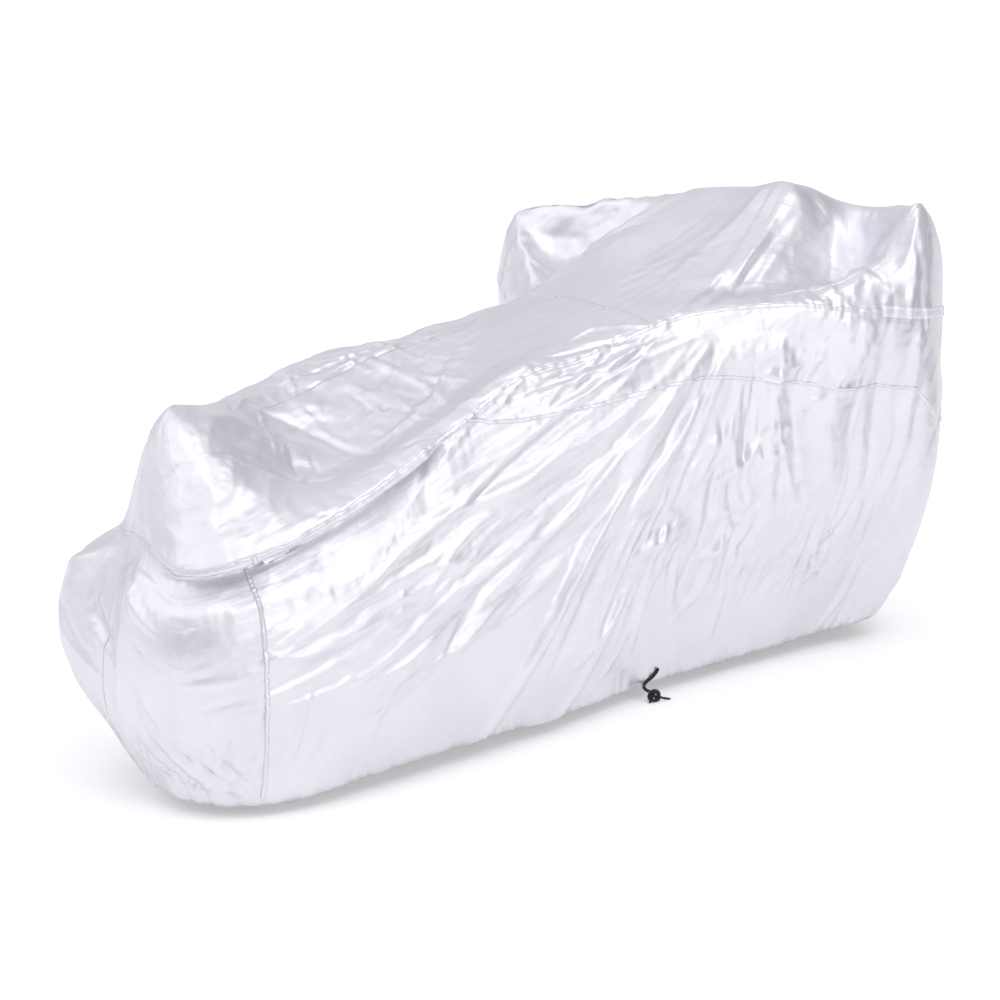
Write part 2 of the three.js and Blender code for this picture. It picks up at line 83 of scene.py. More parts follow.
def curve_through(points, step):
    """Points about a step apart on a smooth curve through the given ones."""
    ends = [2 * points[0] - points[1], 2 * points[-1] - points[-2]]
    points = np.concatenate([ends[:1], points, ends[1:]])
    path = []
    for n in range(1, len(points) - 2):
        count = max(1, int(np.linalg.norm(points[n + 1] - points[n]) / step))
        for k in range(count):
            path.append(smooth(*points[n - 1:n + 3], -1, 0, 1, 2, k / count))
    return np.array(path + [points[-2]])

def mesh_object(name, points, faces):
    mesh = bpy.data.meshes.new(name)
    mesh.from_pydata(points.tolist(), [], faces)
    mesh.update()
    piece = bpy.data.objects.new(name, mesh)
    bpy.context.collection.objects.link(piece)
    mesh.shade_smooth()
    return piece

def bands(rings):
    """Faces of a closed band whose cross sections are rings of as many points each."""
    count, around = rings
    faces = []
    for n in range(count - 1):
        for k in range(around):
            a, b = n * around + k, n * around + (k + 1) % around
            faces.append((a, a + around, b + around, b))
    faces.append(tuple(range(around)))
    faces.append(tuple(range(count * around - 1, (count - 1) * around - 1, -1)))
    return faces

def turned_out(piece):
    """Makes a closed piece's faces point outwards."""
    bpy.ops.object.select_all(action="DESELECT")
    bpy.context.view_layer.objects.active = piece
    piece.select_set(True)
    bpy.ops.object.mode_set(mode="EDIT")
    bpy.ops.mesh.select_all(action="SELECT")
    bpy.ops.mesh.normals_make_consistent(inside=False)
    bpy.ops.object.mode_set(mode="OBJECT")
    bpy.ops.object.shade_smooth_by_angle(angle=math.radians(55))
    piece.select_set(False)

def add_map(piece, name, along, across):
    """A flat map on the piece, from how far along and across each point of its mesh lies."""
    layer = piece.data.uv_layers.new(name=name)
    corners = np.empty(len(piece.data.loops), np.int32)
    piece.data.loops.foreach_get("vertex_index", corners)
    flat = np.stack([along[corners], across[corners]], 1)
    layer.data.foreach_set("uv", flat.astype(np.float32).ravel())


def new_material(name):
    material = bpy.data.materials.new(name)
    material.use_nodes = True
    return material, material.node_tree.nodes, material.node_tree.links

def uneven(nodes, links, coordinates, scale, detail, distortion=0.0, kind="FBM"):
    texture = nodes.new("ShaderNodeTexNoise")
    texture.noise_type = kind
    texture.inputs["Scale"].default_value = scale
    texture.inputs["Detail"].default_value = detail
    texture.inputs["Distortion"].default_value = distortion
    links.new(coordinates, texture.inputs["Vector"])
    return texture.outputs["Fac"]

def ranged(nodes, links, value, low, high, from_low=0.3, from_high=0.7):
    span = nodes.new("ShaderNodeMapRange")
    span.inputs["From Min"].default_value = from_low
    span.inputs["From Max"].default_value = from_high
    span.inputs["To Min"].default_value = low
    span.inputs["To Max"].default_value = high
    links.new(value, span.inputs["Value"])
    return span.outputs["Result"]

def turned(nodes, links, coordinates, angle, scale):
    mapping = nodes.new("ShaderNodeMapping")
    mapping.inputs["Rotation"].default_value = (0, 0, math.radians(angle))
    mapping.inputs["Scale"].default_value = scale
    links.new(coordinates, mapping.inputs["Vector"])
    return mapping.outputs["Vector"]

def relief(nodes, links, height, distance, under=None):
    bump = nodes.new("ShaderNodeBump")
    bump.inputs["Distance"].default_value = distance
    links.new(height, bump.inputs["Height"])
    if under is not None:
        links.new(under, bump.inputs["Normal"])
    return bump.outputs["Normal"]

def thread_bands(nodes, links, coordinates, direction, per_metre):
    """Threads that run one way, as a height from 0 to 1."""
    wave = nodes.new("ShaderNodeTexWave")
    wave.bands_direction = direction
    wave.inputs["Scale"].default_value = per_metre * 2 * math.pi / 20
    wave.inputs["Distortion"].default_value = 0.4
    links.new(coordinates, wave.inputs["Vector"])
    return wave.outputs["Fac"]


# ---------------------------------------------------------------- elastic drawcord and its knot

CORD_RADIUS = 2.0
CORD_SIDES = 20
CORD_STEP = 0.0005
BRAID_TWIST = 5.5
BRAID_STRANDS = 8

# The two strands, out of the slit above the hem, down over the hem and to the knot on the ground.
CORD_STRANDS = {
    # points are x, y, height
    "drawcord_inner": [
        (226.5, -200, 71), (226, -198.9, 67.5), (224.5, -197.7, 63.5), (222, -196.3, 59),
        (218, -195.2, 54.5), (213, -194.6, 51), (207, -194.1, 48), (201, -193.9, 45.5),
        (195, -194.3, 43), (189.5, -195.6, 40), (186, -197.8, 36.5), (185, -200.6, 32.5),
        (187, -203.6, 28.5), (191, -206.4, 25), (196, -208.6, 21.5), (201, -210, 18.5),
    ],
    "drawcord_outer": [
        (232, -198.9, 68.5), (231.3, -197.7, 64.5), (229.5, -196.4, 60), (226.5, -195.1, 55.5),
        (222.5, -193.9, 51), (217.5, -193, 47.2), (211.5, -192.4, 44), (205.5, -192.2, 41.2),
        (199.5, -192.8, 38.4), (194.8, -194.6, 35.4), (192, -197.5, 32.2), (192, -200.7, 29.2),
        (194.8, -203.2, 27), (199.5, -205.2, 24.6), (204.5, -207, 22),
    ],
}

# The knot: both strands go round and through, with the trimmed ends left free.
KNOT_TURNS = {
    # radius, then points x, y, height
    "knot_over": (4.3, [
        (201, -209, 20), (207, -211, 22.5), (213.5, -213, 20.5), (217.5, -216.5, 13),
        (213, -221, 7), (204, -221, 4.8), (196, -218, 6), (193, -212.5, 10.5),
        (197, -208, 15), (204, -207, 17), (212, -208, 14.5),
    ]),
    "knot_under": (4.1, [
        (206, -206, 21), (214, -205.5, 21.5), (221, -206.5, 19), (224, -209.5, 13.5),
        (219, -213, 9.5), (211, -215, 10), (204, -214, 13.5), (199, -216.5, 15.5), (194, -219, 11.5),
    ]),
    "knot_long_end": (2.7, [
        (214, -216, 10), (221, -219, 8), (228, -222, 5.5), (236, -226, 3.6), (243, -229.5, 2.6),
    ]),
    "knot_short_end": (3.4, [(198, -215, 9), (193, -217.5, 6.5), (188.5, -219.5, 3.6), (186.5, -221, 2.6)]),
}


def cord_tube(name, path, radius, taper):
    """A braided cord along the path; taper is the share of its end that narrows to the trimmed tip."""
    ahead = np.gradient(path, axis=0)
    ahead /= np.linalg.norm(ahead, axis=1, keepdims=True)
    side = np.cross(ahead[0], (0.2, 0.3, 1.0))
    side /= np.linalg.norm(side)
    angles = np.linspace(0, 2 * math.pi, CORD_SIDES, endpoint=False)
    run = np.concatenate([[0], np.cumsum(np.linalg.norm(np.diff(path, axis=0), axis=1))])
    rings = []
    for n, centre in enumerate(path):
        side = side - (side @ ahead[n]) * ahead[n]
        side /= np.linalg.norm(side)
        up = np.cross(ahead[n], side)
        wrap = BRAID_STRANDS / 2 * angles
        along = run[n] / radius / MM * BRAID_TWIST / 5
        braid = np.maximum(np.sin(wrap + along), np.sin(wrap - along))
        left = (run[-1] - run[n]) / (taper * run[-1]) if taper else 1
        size = radius * MM * (0.93 + 0.07 * braid) * min(1, 0.35 + 0.65 * math.sqrt(min(left, 1)))
        rings.append(centre + np.outer(size * np.cos(angles), side) + np.outer(size * np.sin(angles), up))
    rings = np.array(rings)
    tube = mesh_object(name, rings.reshape(-1, 3), bands(rings.shape[:2]))
    turned_out(tube)
    add_map(tube, "braid", np.tile(angles * radius * MM, len(path)), np.repeat(run, CORD_SIDES))
    tube.data.materials.append(black_cord)
    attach(tube, "root")
    return tube


def black_cord_material():
    """Braided black elastic: strands that cross each other round the cord, with a dull sheen."""
    material, nodes, links = new_material("black_cord")
    shader = nodes["Principled BSDF"]
    braid_map = nodes.new("ShaderNodeUVMap")
    braid_map.uv_map = "braid"
    spot = nodes.new("ShaderNodeTexCoord")
    shader.inputs["Roughness"].default_value = 0.62
    shader.inputs["Sheen Weight"].default_value = 0.06
    tint = nodes.new("ShaderNodeMix")
    tint.data_type = "RGBA"
    tint.inputs["A"].default_value = (0.003, 0.003, 0.004, 1)
    tint.inputs["B"].default_value = (0.016, 0.016, 0.019, 1)
    links.new(uneven(nodes, links, spot.outputs["Object"], 700, 3), tint.inputs["Factor"])
    links.new(tint.outputs["Result"], shader.inputs["Base Color"])
    normal = None
    for angle in (35, -35):
        slanted = turned(nodes, links, braid_map.outputs["UV"], angle, (1, 1, 1))
        normal = relief(nodes, links, thread_bands(nodes, links, slanted, "X", 900), 0.0003, normal)
    links.new(normal, shader.inputs["Normal"])
    return material


black_cord = black_cord_material()
for name, (radius, spots) in KNOT_TURNS.items():
    path = curve_through(from_ground(spots), CORD_STEP * 1.4)
    cord_tube("drawcord_" + name, path, radius, 0.3 if name.endswith("end") else 0)
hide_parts("drawcord_knot")
for name, spots in CORD_STRANDS.items():
    path = curve_through(from_ground(spots), CORD_STEP)
    strand = cord_tube(name + "_strand", path, CORD_RADIUS, 0)
    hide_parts(name)

# ---------------------------------------------------------------- surface of the draped cloth

RINGS = ["hem", "skirt", "belly", "waist", "tuck", "seam", "crest", "valley", "ridge"]

# The spine: the line along the top where the two sides of the cover meet.
SPINE = [
    # x, y, height
    (-880, 0, 790),
    (-840, 8, 782),
    (-620, 80, 735),
    (-350, 110, 795),
    (-50, 100, 850),
    (220, 20, 925),
    (420, 0, 992),
    (560, 0, 1060),
    (650, 0, 1106),
    (740, 0, 1097),
    (800, 0, 1080),
]

# Ribs stand upright round the machine. Each row: foot x on the centre plane, the direction it
# faces in degrees from +X, its lean along X at the ground, then reach and height at every ring.
RIBS = [
    # near side, tail to front
    # x  turn lean   hem      skirt     belly     waist     tuck      seam      crest     valley    ridge
    (-830, -90, -32, 283, 20, 305, 170, 300, 330, 280, 430, 225, 500, 242, 526, 185, 612, 120, 690, 60, 748),
    (-620, -90, 0, 283, 35, 305, 170, 305, 330, 285, 470, 220, 566, 240, 594, 190, 620, 95, 628, 0, 675),
    (-350, -90, 0, 262, 38, 305, 200, 300, 420, 240, 700, 238, 712, 240, 725, 205, 742, 120, 722, 20, 740),
    (-200, -90, 0, 246, 34, 300, 201, 305, 440, 268, 716, 252, 756, 232, 796, 208, 812, 127, 795, 25, 800),
    (-50, -90, 0, 228, 30, 290, 200, 310, 450, 300, 730, 278, 782, 245, 822, 215, 840, 140, 846, 40, 846),
    (220, -90, 0, 183, 30, 240, 200, 310, 450, 333, 760, 325, 820, 285, 888, 258, 901, 205, 910, 120, 917),
    (420, -90, 0, 175, 30, 240, 200, 330, 450, 372, 734, 385, 820, 385, 905, 340, 920, 265, 920, 213, 968),
    (560, -90, 0, 168, 30, 240, 200, 340, 450, 400, 712, 432, 800, 438, 887, 388, 938, 290, 925, 182, 1050),
    (650, -90, 0, 168, 32, 240, 200, 345, 450, 412, 700, 448, 790, 458, 877, 408, 962, 283, 925, 160, 1120),
    (700, -90, 0, 167, 34, 240, 197, 345, 445, 418, 695, 452, 788, 464, 870, 428, 1000, 297, 930, 152, 1114),
    (740, -90, 0, 167, 36, 240, 195, 345, 440, 420, 690, 452, 785, 464, 864, 446, 1096, 300, 975, 148, 1108),
    (800, -90, 0, 172, 40, 235, 190, 335, 420, 415, 680, 448, 780, 458, 857, 432, 1080, 265, 1062, 138, 1085),
    # round the front wheel
    (800, -72, 0, 190, 42, 268, 190, 360, 400, 400, 590, 402, 720, 402, 840, 375, 1000, 245, 1042, 120, 1072),
    (800, -52, 0, 235, 50, 308, 190, 358, 380, 368, 560, 355, 690, 338, 800, 290, 930, 188, 1018, 95, 1060),
    (800, 0, 0, 260, 75, 288, 190, 300, 360, 285, 520, 265, 640, 242, 750, 205, 870, 135, 978, 65, 1050),
    (800, 52, 0, 245, 85, 290, 190, 338, 390, 345, 560, 335, 690, 318, 790, 268, 910, 175, 1003, 88, 1057),
    (800, 74, 0, 215, 88, 265, 195, 330, 400, 362, 580, 368, 700, 355, 810, 288, 940, 190, 1023, 100, 1066),
    # far side, front to tail
    (800, 90, 0, 200, 90, 245, 200, 310, 410, 355, 600, 370, 720, 362, 820, 285, 960, 180, 1036, 90, 1074),
    (650, 90, 0, 210, 90, 265, 200, 345, 430, 400, 650, 425, 760, 430, 860, 310, 1030, 185, 1082, 128, 1096),
    (560, 94, 0, 220, 90, 280, 200, 365, 430, 425, 650, 450, 765, 460, 870, 240, 1072, 175, 1062, 136, 1068),
    (490, 98, 0, 225, 90, 290, 200, 380, 430, 440, 650, 467, 770, 481, 880, 318, 1052, 218, 995, 146, 1030),
    (420, 103, 0, 230, 90, 300, 200, 390, 430, 455, 650, 482, 770, 501, 880, 442, 1024, 312, 920, 150, 998),
    (220, 90, 0, 225, 95, 270, 200, 330, 430, 350, 610, 340, 710, 318, 790, 255, 845, 205, 885, 165, 919),
    (-50, 90, 0, 205, 95, 250, 200, 290, 420, 300, 580, 285, 670, 262, 740, 205, 820, 178, 834, 150, 845),
    (-350, 90, 0, 195, 95, 235, 200, 270, 400, 280, 540, 270, 620, 250, 690, 203, 808, 182, 815, 152, 810),
    (-620, 90, 0, 205, 110, 250, 210, 280, 380, 280, 480, 265, 550, 240, 610, 180, 748, 155, 766, 122, 760),
    (-830, 90, 0, 235, 150, 265, 240, 285, 360, 275, 440, 250, 492, 200, 545, 150, 645, 104, 718, 52, 766),
    # round the tail and the rear wheel
    (-880, 110, 0, 185, 165, 245, 250, 278, 350, 272, 425, 232, 482, 160, 535, 118, 630, 80, 710, 38, 765),
    (-880, 132, 0, 165, 165, 238, 235, 272, 325, 268, 425, 215, 480, 126, 528, 92, 620, 66, 702, 33, 763),
    (-880, 155, 0, 140, 130, 205, 205, 232, 300, 198, 405, 146, 480, 104, 533, 82, 620, 60, 702, 32, 764),
    (-880, 178, 0, 120, 70, 165, 190, 158, 310, 135, 420, 118, 490, 105, 545, 88, 635, 62, 712, 32, 766),
    (-880, -160, 0, 118, 40, 180, 165, 205, 300, 178, 430, 138, 495, 115, 542, 92, 632, 66, 708, 34, 765),
    (-880, -140, 0, 148, 32, 222, 160, 258, 310, 235, 430, 178, 495, 148, 532, 115, 624, 76, 702, 40, 762),
    (-880, -120, 0, 192, 25, 262, 165, 282, 320, 260, 420, 213, 478, 224, 492, 150, 608, 94, 695, 48, 758),
    (-880, -104, 0, 232, 22, 287, 165, 293, 330, 274, 430, 218, 492, 240, 508, 172, 602, 110, 692, 54, 753),
]

FRONT_X = 800
REAR_X = -880
REAR_SIDE_X = -830
POLE_STEP = 60
KNOT_RING = RINGS.index("belly")


def rib_points(row):
    foot_x, turn, lean = row[:3]
    reach, height = np.array(row[3:], float).reshape(-1, 2).T
    shift = lean * (1 - height * MM / SADDLE_HEIGHT)
    angle = math.radians(turn)
    return np.stack([foot_x + reach * math.cos(angle) + shift, reach * math.sin(angle), height], -1)


ribs = np.array([rib_points(row) for row in RIBS])
gaps = np.linalg.norm(np.roll(ribs[:, KNOT_RING], -1, 0) - ribs[:, KNOT_RING], axis=1)
knots = np.concatenate([[0], np.cumsum(gaps)])


def knot_of(i):
    laps = np.floor_divide(i, len(ribs))
    return knots[i - laps * len(ribs)] + laps * knots[-1]


def ring_points(place):
    """All ring points at places on the loop round the machine, counted in ribs."""
    place = np.asarray(place, float)
    i = np.floor(place).astype(int)
    k = [knot_of(i + n)[:, None, None] for n in (-1, 0, 1, 2)]
    at = [ribs[(i + n) % len(ribs)] for n in (-1, 0, 1, 2)]
    here = k[1] + (place - i)[:, None, None] * (k[2] - k[1])
    return smooth(*at, *k, here)


def spine_point(x):
    points = np.array(SPINE, float)
    x = np.asarray(x, float)
    last = len(points) - 1
    i = np.clip(np.searchsorted(points[:, 0], x, side="right") - 1, 0, last - 1)
    steps = [np.clip(i + n, 0, last) for n in (-1, 0, 1, 2)]
    return smooth(*[points[n] for n in steps], *[points[n, :1] for n in steps], x[:, None])


def place_on_side(x, side):
    on_side = [n for n, row in enumerate(RIBS) if row[1] * side > 0 and abs(abs(row[1]) - 90) < 14]
    on_side.sort(key=lambda n: RIBS[n][0])
    return np.interp(x, [RIBS[n][0] for n in on_side], on_side)


def place_of_turn(x, turn):
    fan = [n for n, row in enumerate(RIBS) if row[0] == x]
    passed = [(RIBS[n][1] - RIBS[fan[0]][1]) % 360 for n in fan]
    return np.interp((turn - RIBS[fan[0]][1]) % 360, passed, fan)


# How finely the cloth is divided: rows between rings, and steps of the stations round the machine.
ROWS_PER_RING = [22, 34, 44, 18, 18, 24, 24, 18, 18]
SIDE_STEPS = 290
FRONT_STEPS = 150
REAR_STEPS = 150
CORNER_STEPS = 8
GRID_STEP = 0.0056
FIRST_REAR_TURN = 110
LAST_REAR_TURN = 256
RING_ROW = dict(zip(RINGS + ["spine"], np.concatenate([[0], np.cumsum(ROWS_PER_RING)])))
SEAM_ROW = RING_ROW["seam"]


def loop_stations():
    """Places of the upright sections, their x on the spine, and the place opposite or -1 at a pole."""
    xs = np.linspace(REAR_SIDE_X, FRONT_X, SIDE_STEPS + 1)
    near, far = place_on_side(xs, -1), place_on_side(xs, 1)
    turns = np.linspace(-90, 90, FRONT_STEPS + 1)[1:-1]
    front = np.array([place_of_turn(FRONT_X, turn) for turn in turns])
    turns = np.linspace(FIRST_REAR_TURN, LAST_REAR_TURN, REAR_STEPS + 1)
    rear = np.array([place_of_turn(REAR_X, turn) for turn in turns])
    t = np.arange(1, CORNER_STEPS) / CORNER_STEPS
    far_corner, near_corner = far[0] + t, rear[-1] + t
    corner_xs = REAR_SIDE_X + (REAR_X - REAR_SIDE_X) * t
    pole = np.full
    place = np.concatenate([near, front, far[::-1], far_corner, rear, near_corner])
    spine_x = np.concatenate([
        xs, pole(len(front), FRONT_X), xs[::-1], corner_xs, pole(len(rear), REAR_X), corner_xs[::-1]])
    across = np.concatenate([
        far, pole(len(front), -1), near[::-1], near_corner[::-1], pole(len(rear), -1), far_corner[::-1]])
    return place, spine_x, across


place, spine_x, across = loop_stations()


def sections():
    """Ring points of every station, then the spine and one point past the spine."""
    rings = ring_points(place)
    spine = spine_point(spine_x)
    past = spine_point(spine_x + np.where(spine_x > 0, -POLE_STEP, POLE_STEP))
    beside = across >= 0
    past[beside] = ring_points(across[beside])[:, -1]
    return np.concatenate([rings, spine[:, None], past[:, None]], 1)


def surface_rows():
    points = sections()
    rows = []
    for ring, count in enumerate(ROWS_PER_RING):
        a, b, after = points[:, ring], points[:, ring + 1], points[:, ring + 2]
        before = points[:, ring - 1] if ring else 2 * points[:, 0] - points[:, 1]
        k_before = -np.linalg.norm(before - a, axis=1)[:, None]
        span = np.linalg.norm(b - a, axis=1)[:, None]
        k_after = span + np.linalg.norm(after - b, axis=1)[:, None]
        for n in range(count):
            rows.append(smooth(before, a, b, after, k_before, 0 * span, span, k_after, span * n / count))
    rows.append(points[:, len(RINGS)])
    return np.stack(rows, 1) * MM - [0, 0, SADDLE_HEIGHT]


rows = surface_rows()
STATIONS, ROWS = rows.shape[:2]
SPINE_ROW = ROWS - 1

# Both sides share the points on the spine, and each pole is one point.
spine_keys = np.round(spine_x, 3)
_, first_seen, spine_ids = np.unique(spine_keys, return_index=True, return_inverse=True)
ids = np.arange(STATIONS * SPINE_ROW).reshape(STATIONS, SPINE_ROW)
ids = np.concatenate([ids, STATIONS * SPINE_ROW + spine_ids[:, None]], 1)


def welded(grid):
    """Values of the grid's points as one list, with the spine's once."""
    rest = grid.shape[2:]
    return np.concatenate([grid[:, :SPINE_ROW].reshape(-1, *rest), grid[first_seen, SPINE_ROW]])


cloth = welded(rows)
next_ids = np.roll(ids, -1, 0)
quads = np.stack([ids[:, :-1], next_ids[:, :-1], next_ids[:, 1:], ids[:, 1:]], -1)

# Where each point lies on the flat cloth: along the machine, above the hem, and its row.
rises = np.linalg.norm(np.diff(rows, axis=1), axis=2)
above_hem = np.concatenate([np.zeros((STATIONS, 1)), np.cumsum(rises, 1)], 1)
above_seam = above_hem - above_hem[:, [SEAM_ROW]]
above_stitches = above_hem - above_hem[:, [RING_ROW["waist"]]]
belly = rows[:, RING_ROW["belly"]]
strides = np.linalg.norm(np.roll(belly, -1, 0) - belly, axis=1)
along = np.concatenate([[0], np.cumsum(strides)[:-1]]) + REAR_SIDE_X * MM
along[place > 30] -= strides.sum()
flat_along = welded(np.repeat(along[:, None], ROWS, 1))
flat_above = welded(above_seam)


def normals_of(points):
    """Unit normals of the welded cloth at its points."""
    corners = points[quads.reshape(-1, 4)]
    face = np.cross(corners[:, 2] - corners[:, 0], corners[:, 3] - corners[:, 1])
    total = np.zeros_like(points)
    for n in range(4):
        for axis in range(3):
            total[:, axis] += np.bincount(quads[..., n].ravel(), face[:, axis], len(points))
    return total / np.linalg.norm(total, axis=1, keepdims=True)


# ---------------------------------------------------------------- folds

FACES = {
    # the two axes of a face's table, and the way that it faces
    "near": ((0, 2), (0, -1, 0)),
    "far": ((0, 2), (0, 1, 0)),
    "top": ((0, 1), (0, 0, 1)),
    "rear": ((1, 2), (-1, 0, 0)),
    "front": ((1, 2), (1, 0, 0)),
}

# Long folds, seen square to one face of the cover. Each row: half width, height of the fold, how
# sharp its crest is from 0 to 1, then its points. A fold of negative height is a trough.
LONG_FOLDS = {
    "near": [
        # pulled down and back from the foot of the handlebar
        (50, 15, 0.5, [(250, 850), (100, 700), (0, 500)]),
        (55, -15, 0.4, [(0, 500), (-250, 400), (-550, 250)]),
        (25, 9, 0.7, [(200, 850), (0, 700), (-250, 600), (-500, 500)]),
        (22, -8, 0.6, [(200, 800), (0, 650), (-300, 500)]),
        (25, 9, 0.7, [(150, 850), (-100, 750), (-350, 600)]),
        (20, -7, 0.6, [(100, 850), (-150, 700), (-400, 550)]),
        (20, 7, 0.8, [(-100, 650), (-400, 500), (-750, 400)]),
        (16, 6, 0.8, [(-200, 700), (-300, 650), (-450, 600)]),
        # along the long seam
        (18, 7, 0.8, [(200, 870), (0, 820), (-250, 750)]),
        # upright under the handlebar
        (22, -8, 0.7, [(250, 850), (200, 650), (100, 450)]),
        (30, 12, 0.7, [(400, 850), (400, 650), (450, 400)]),
        (30, -11, 0.7, [(500, 850), (450, 700), (550, 400)]),
        (80, 25, 0.3, [(600, 850), (550, 600), (650, 350)]),
        (38, -12, 0.8, [(650, 850), (700, 600), (750, 350)]),
        (40, 15, 0.5, [(750, 850), (800, 600), (800, 350)]),
        # short ones across them
        (22, 5, 0.5, [(350, 750), (450, 750)]),
        (22, 5, 0.5, [(550, 700), (650, 700)]),
        # low down, towards the drawcord and the tail
        (20, -7, 0.8, [(250, 700), (350, 400), (500, 150)]),
        (24, 9, 0.6, [(200, 450), (50, 350)]),
        (16, 6, 0.8, [(-450, 250), (-650, 150)]),
    ],
    "top": [
        # points are x, y, seen from above
        # a double fold from the screen's tip back to the tank
        (16, 8, 0.9, [(700, -150), (500, -200), (300, -300)]),
        (24, -9, 0.6, [(650, -200), (450, -250), (250, -300)]),
        (40, -15, 0.4, [(750, -200), (650, -300), (500, -400)]),
        # the handlebar's pocket
        (75, 12, 0.0, [(800, -200), (800, -300), (750, -400)]),
        (34, 12, 0.5, [(750, -250), (650, -350), (550, -450)]),
        # tank
        (22, 6, 0.6, [(600, 150), (300, 200), (50, 100)]),
        (20, 5, 0.6, [(600, -100), (400, -100), (200, -150)]),
        (30, 12, 0.4, [(350, 300), (400, 200), (600, 150)]),
        # saddle and tail
        (60, 14, 0.3, [(-850, -50), (-700, 0), (-550, -100)]),
        (26, -12, 0.6, [(-850, -100), (-700, -100), (-600, -150)]),
        (24, 10, 0.7, [(-200, 0), (-350, -100), (-500, -100)]),
        (18, -7, 0.8, [(-700, 100), (-550, 0), (-500, -200)]),
        (16, 6, 0.8, [(-400, 200), (-300, 0), (-350, -250)]),
    ],
    "rear": [
        # points are y, height, seen from behind
        (26, -12, 0.6, [(50, 500), (50, 400), (-50, 300)]),
        (22, 9, 0.8, [(0, 500), (-100, 450), (-200, 400)]),
        (34, 12, 0.9, [(100, 500), (200, 450)]),
        (20, 8, 0.8, [(200, 400), (0, 250)]),
        # the far handlebar, seen from behind
        (16, 6, 0.8, [(200, 900), (350, 950), (350, 1000)]),
        (16, -6, 0.7, [(400, 1000), (150, 950)]),
    ],
}

# Folds that fan out from where the cloth is pulled. Each row: face, centre, headings from and to in
# degrees, start of a fold from and to, how many, length, half width, and steepness from and to.
FANS = [
    ("near", (340, 920), (197, 250), (90, 520), 48, (180, 620), (10, 18), (0.15, 0.40)),
    ("near", (340, 920), (250, 288), (80, 380), 24, (100, 300), (10, 17), (0.15, 0.40)),
    ("near", (340, 920), (205, 256), (430, 720), 16, (260, 600), (18, 30), (0.25, 0.45)),
    ("near", (700, 900), (195, 209), (850, 1400), 22, (250, 560), (14, 28), (0.20, 0.42)),
    ("near", (330, 880), (174, 199), (60, 300), 14, (200, 420), (9, 14), (0.15, 0.40)),
    ("near", (560, 1500), (250, 286), (900, 1150), 24, (100, 260), (10, 17), (0.15, 0.40)),
    ("near", (560, 1500), (246, 284), (1060, 1300), 18, (100, 260), (12, 20), (0.35, 0.60)),
    ("top", (810, -60), (176, 206), (60, 500), 38, (150, 480), (10, 16), (0.12, 0.30)),
    ("top", (0, 120), (160, 210), (120, 420), 26, (80, 280), (9, 13), (0.15, 0.38)),
    ("top", (-460, 500), (235, 305), (300, 560), 22, (60, 180), (9, 12), (0.20, 0.45)),
    ("near", (720, 1110), (215, 290), (60, 160), 12, (80, 220), (10, 14), (0.15, 0.35)),
    ("near", (-850, 20), (40, 165), (20, 90), 20, (60, 220), (9, 12), (0.30, 0.60)),
    ("rear", (-250, 20), (30, 110), (20, 90), 24, (60, 260), (9, 12), (0.30, 0.60)),
    ("far", (330, 900), (186, 262), (90, 700), 50, (200, 600), (14, 28), (0.30, 0.50)),
    ("far", (560, 1500), (248, 290), (640, 1000), 16, (150, 300), (14, 26), (0.30, 0.50)),
    ("front", (0, 1100), (248, 292), (250, 700), 20, (150, 350), (14, 26), (0.25, 0.40)),
]

# Crumpled places. Each row: face, centre, half size of the place, heading of the crumples in
# degrees, size of one along, across and in depth, height.
CRUMPLES = [
    ("top", (-600, 60), (210, 170), -30, (90, 40, 60), 5),
    ("top", (-300, 90), (260, 170), 12, (95, 40, 60), 6),
    ("top", (-330, -40), (160, 110), -60, (70, 40, 60), 6),
    ("top", (-60, 100), (200, 150), 10, (160, 55, 60), 5),
    ("top", (-800, -120), (170, 150), 60, (130, 50, 60), 4),
    ("near", (400, 520), (190, 170), 75, (80, 55, 80), 10),
    ("near", (480, 780), (210, 110), 70, (75, 50, 60), 9),
    ("near", (520, 260), (260, 80), 80, (80, 40, 80), 8),
    ("near", (120, 420), (120, 120), 50, (90, 50, 80), 8),
    ("near", (-640, 330), (330, 200), 20, (200, 60, 60), 4),
    ("rear", (-120, 560), (160, 130), 60, (120, 60, 100), 4),
    ("rear", (60, 400), (260, 260), 80, (170, 80, 150), 4),
    ("rear", (290, 980), (200, 130), 70, (75, 42, 70), 6),
    ("top", (600, 330), (220, 180), 20, (110, 60, 90), 14),
    ("top", (640, -320), (240, 170), 20, (80, 38, 60), 5),
]

# Small creases, strewn over a part of the cloth. Each row: how many, x from and to along the
# machine, side (-1 near, 1 far), ring from and to, heading in degrees from the +X way along the
# cloth towards its top, spread of the heading, longest length, half width, height.
CREASES = [
    # seat and the hollow before it
    (60, -760, -80, -1, "seam", "spine", -20, 60, 170, 11, 2.2),
    (60, -760, -80, 1, "crest", "spine", 20, 60, 170, 11, 2.2),
    # long side, pulled towards the handlebar
    (30, -800, 200, -1, "skirt", "tuck", 38, 10, 360, 14, 2.2),
    (50, -400, 150, -1, "waist", "seam", 30, 12, 200, 10, 2.4),
    # below the handlebar
    (70, 350, 800, -1, "belly", "crest", 80, 30, 160, 12, 3.5),
    (60, 330, 800, -1, "tuck", "crest", 60, 60, 90, 9, 2.5),
    # tank and screen
    (40, 150, 700, -1, "crest", "spine", 15, 10, 300, 12, 1.4),
    (40, 150, 700, 1, "valley", "spine", 15, 10, 300, 12, 1.4),
    (50, 200, 800, 1, "belly", "crest", 80, 40, 200, 16, 5.0),
    (80, -800, 200, 1, "skirt", "seam", -35, 25, 260, 14, 4.0),
    # all over
    (130, -830, 800, -1, "hem", "spine", 40, 90, 110, 9, 1.3),
    (130, -830, 800, 1, "hem", "spine", 40, 90, 110, 9, 1.3),
]
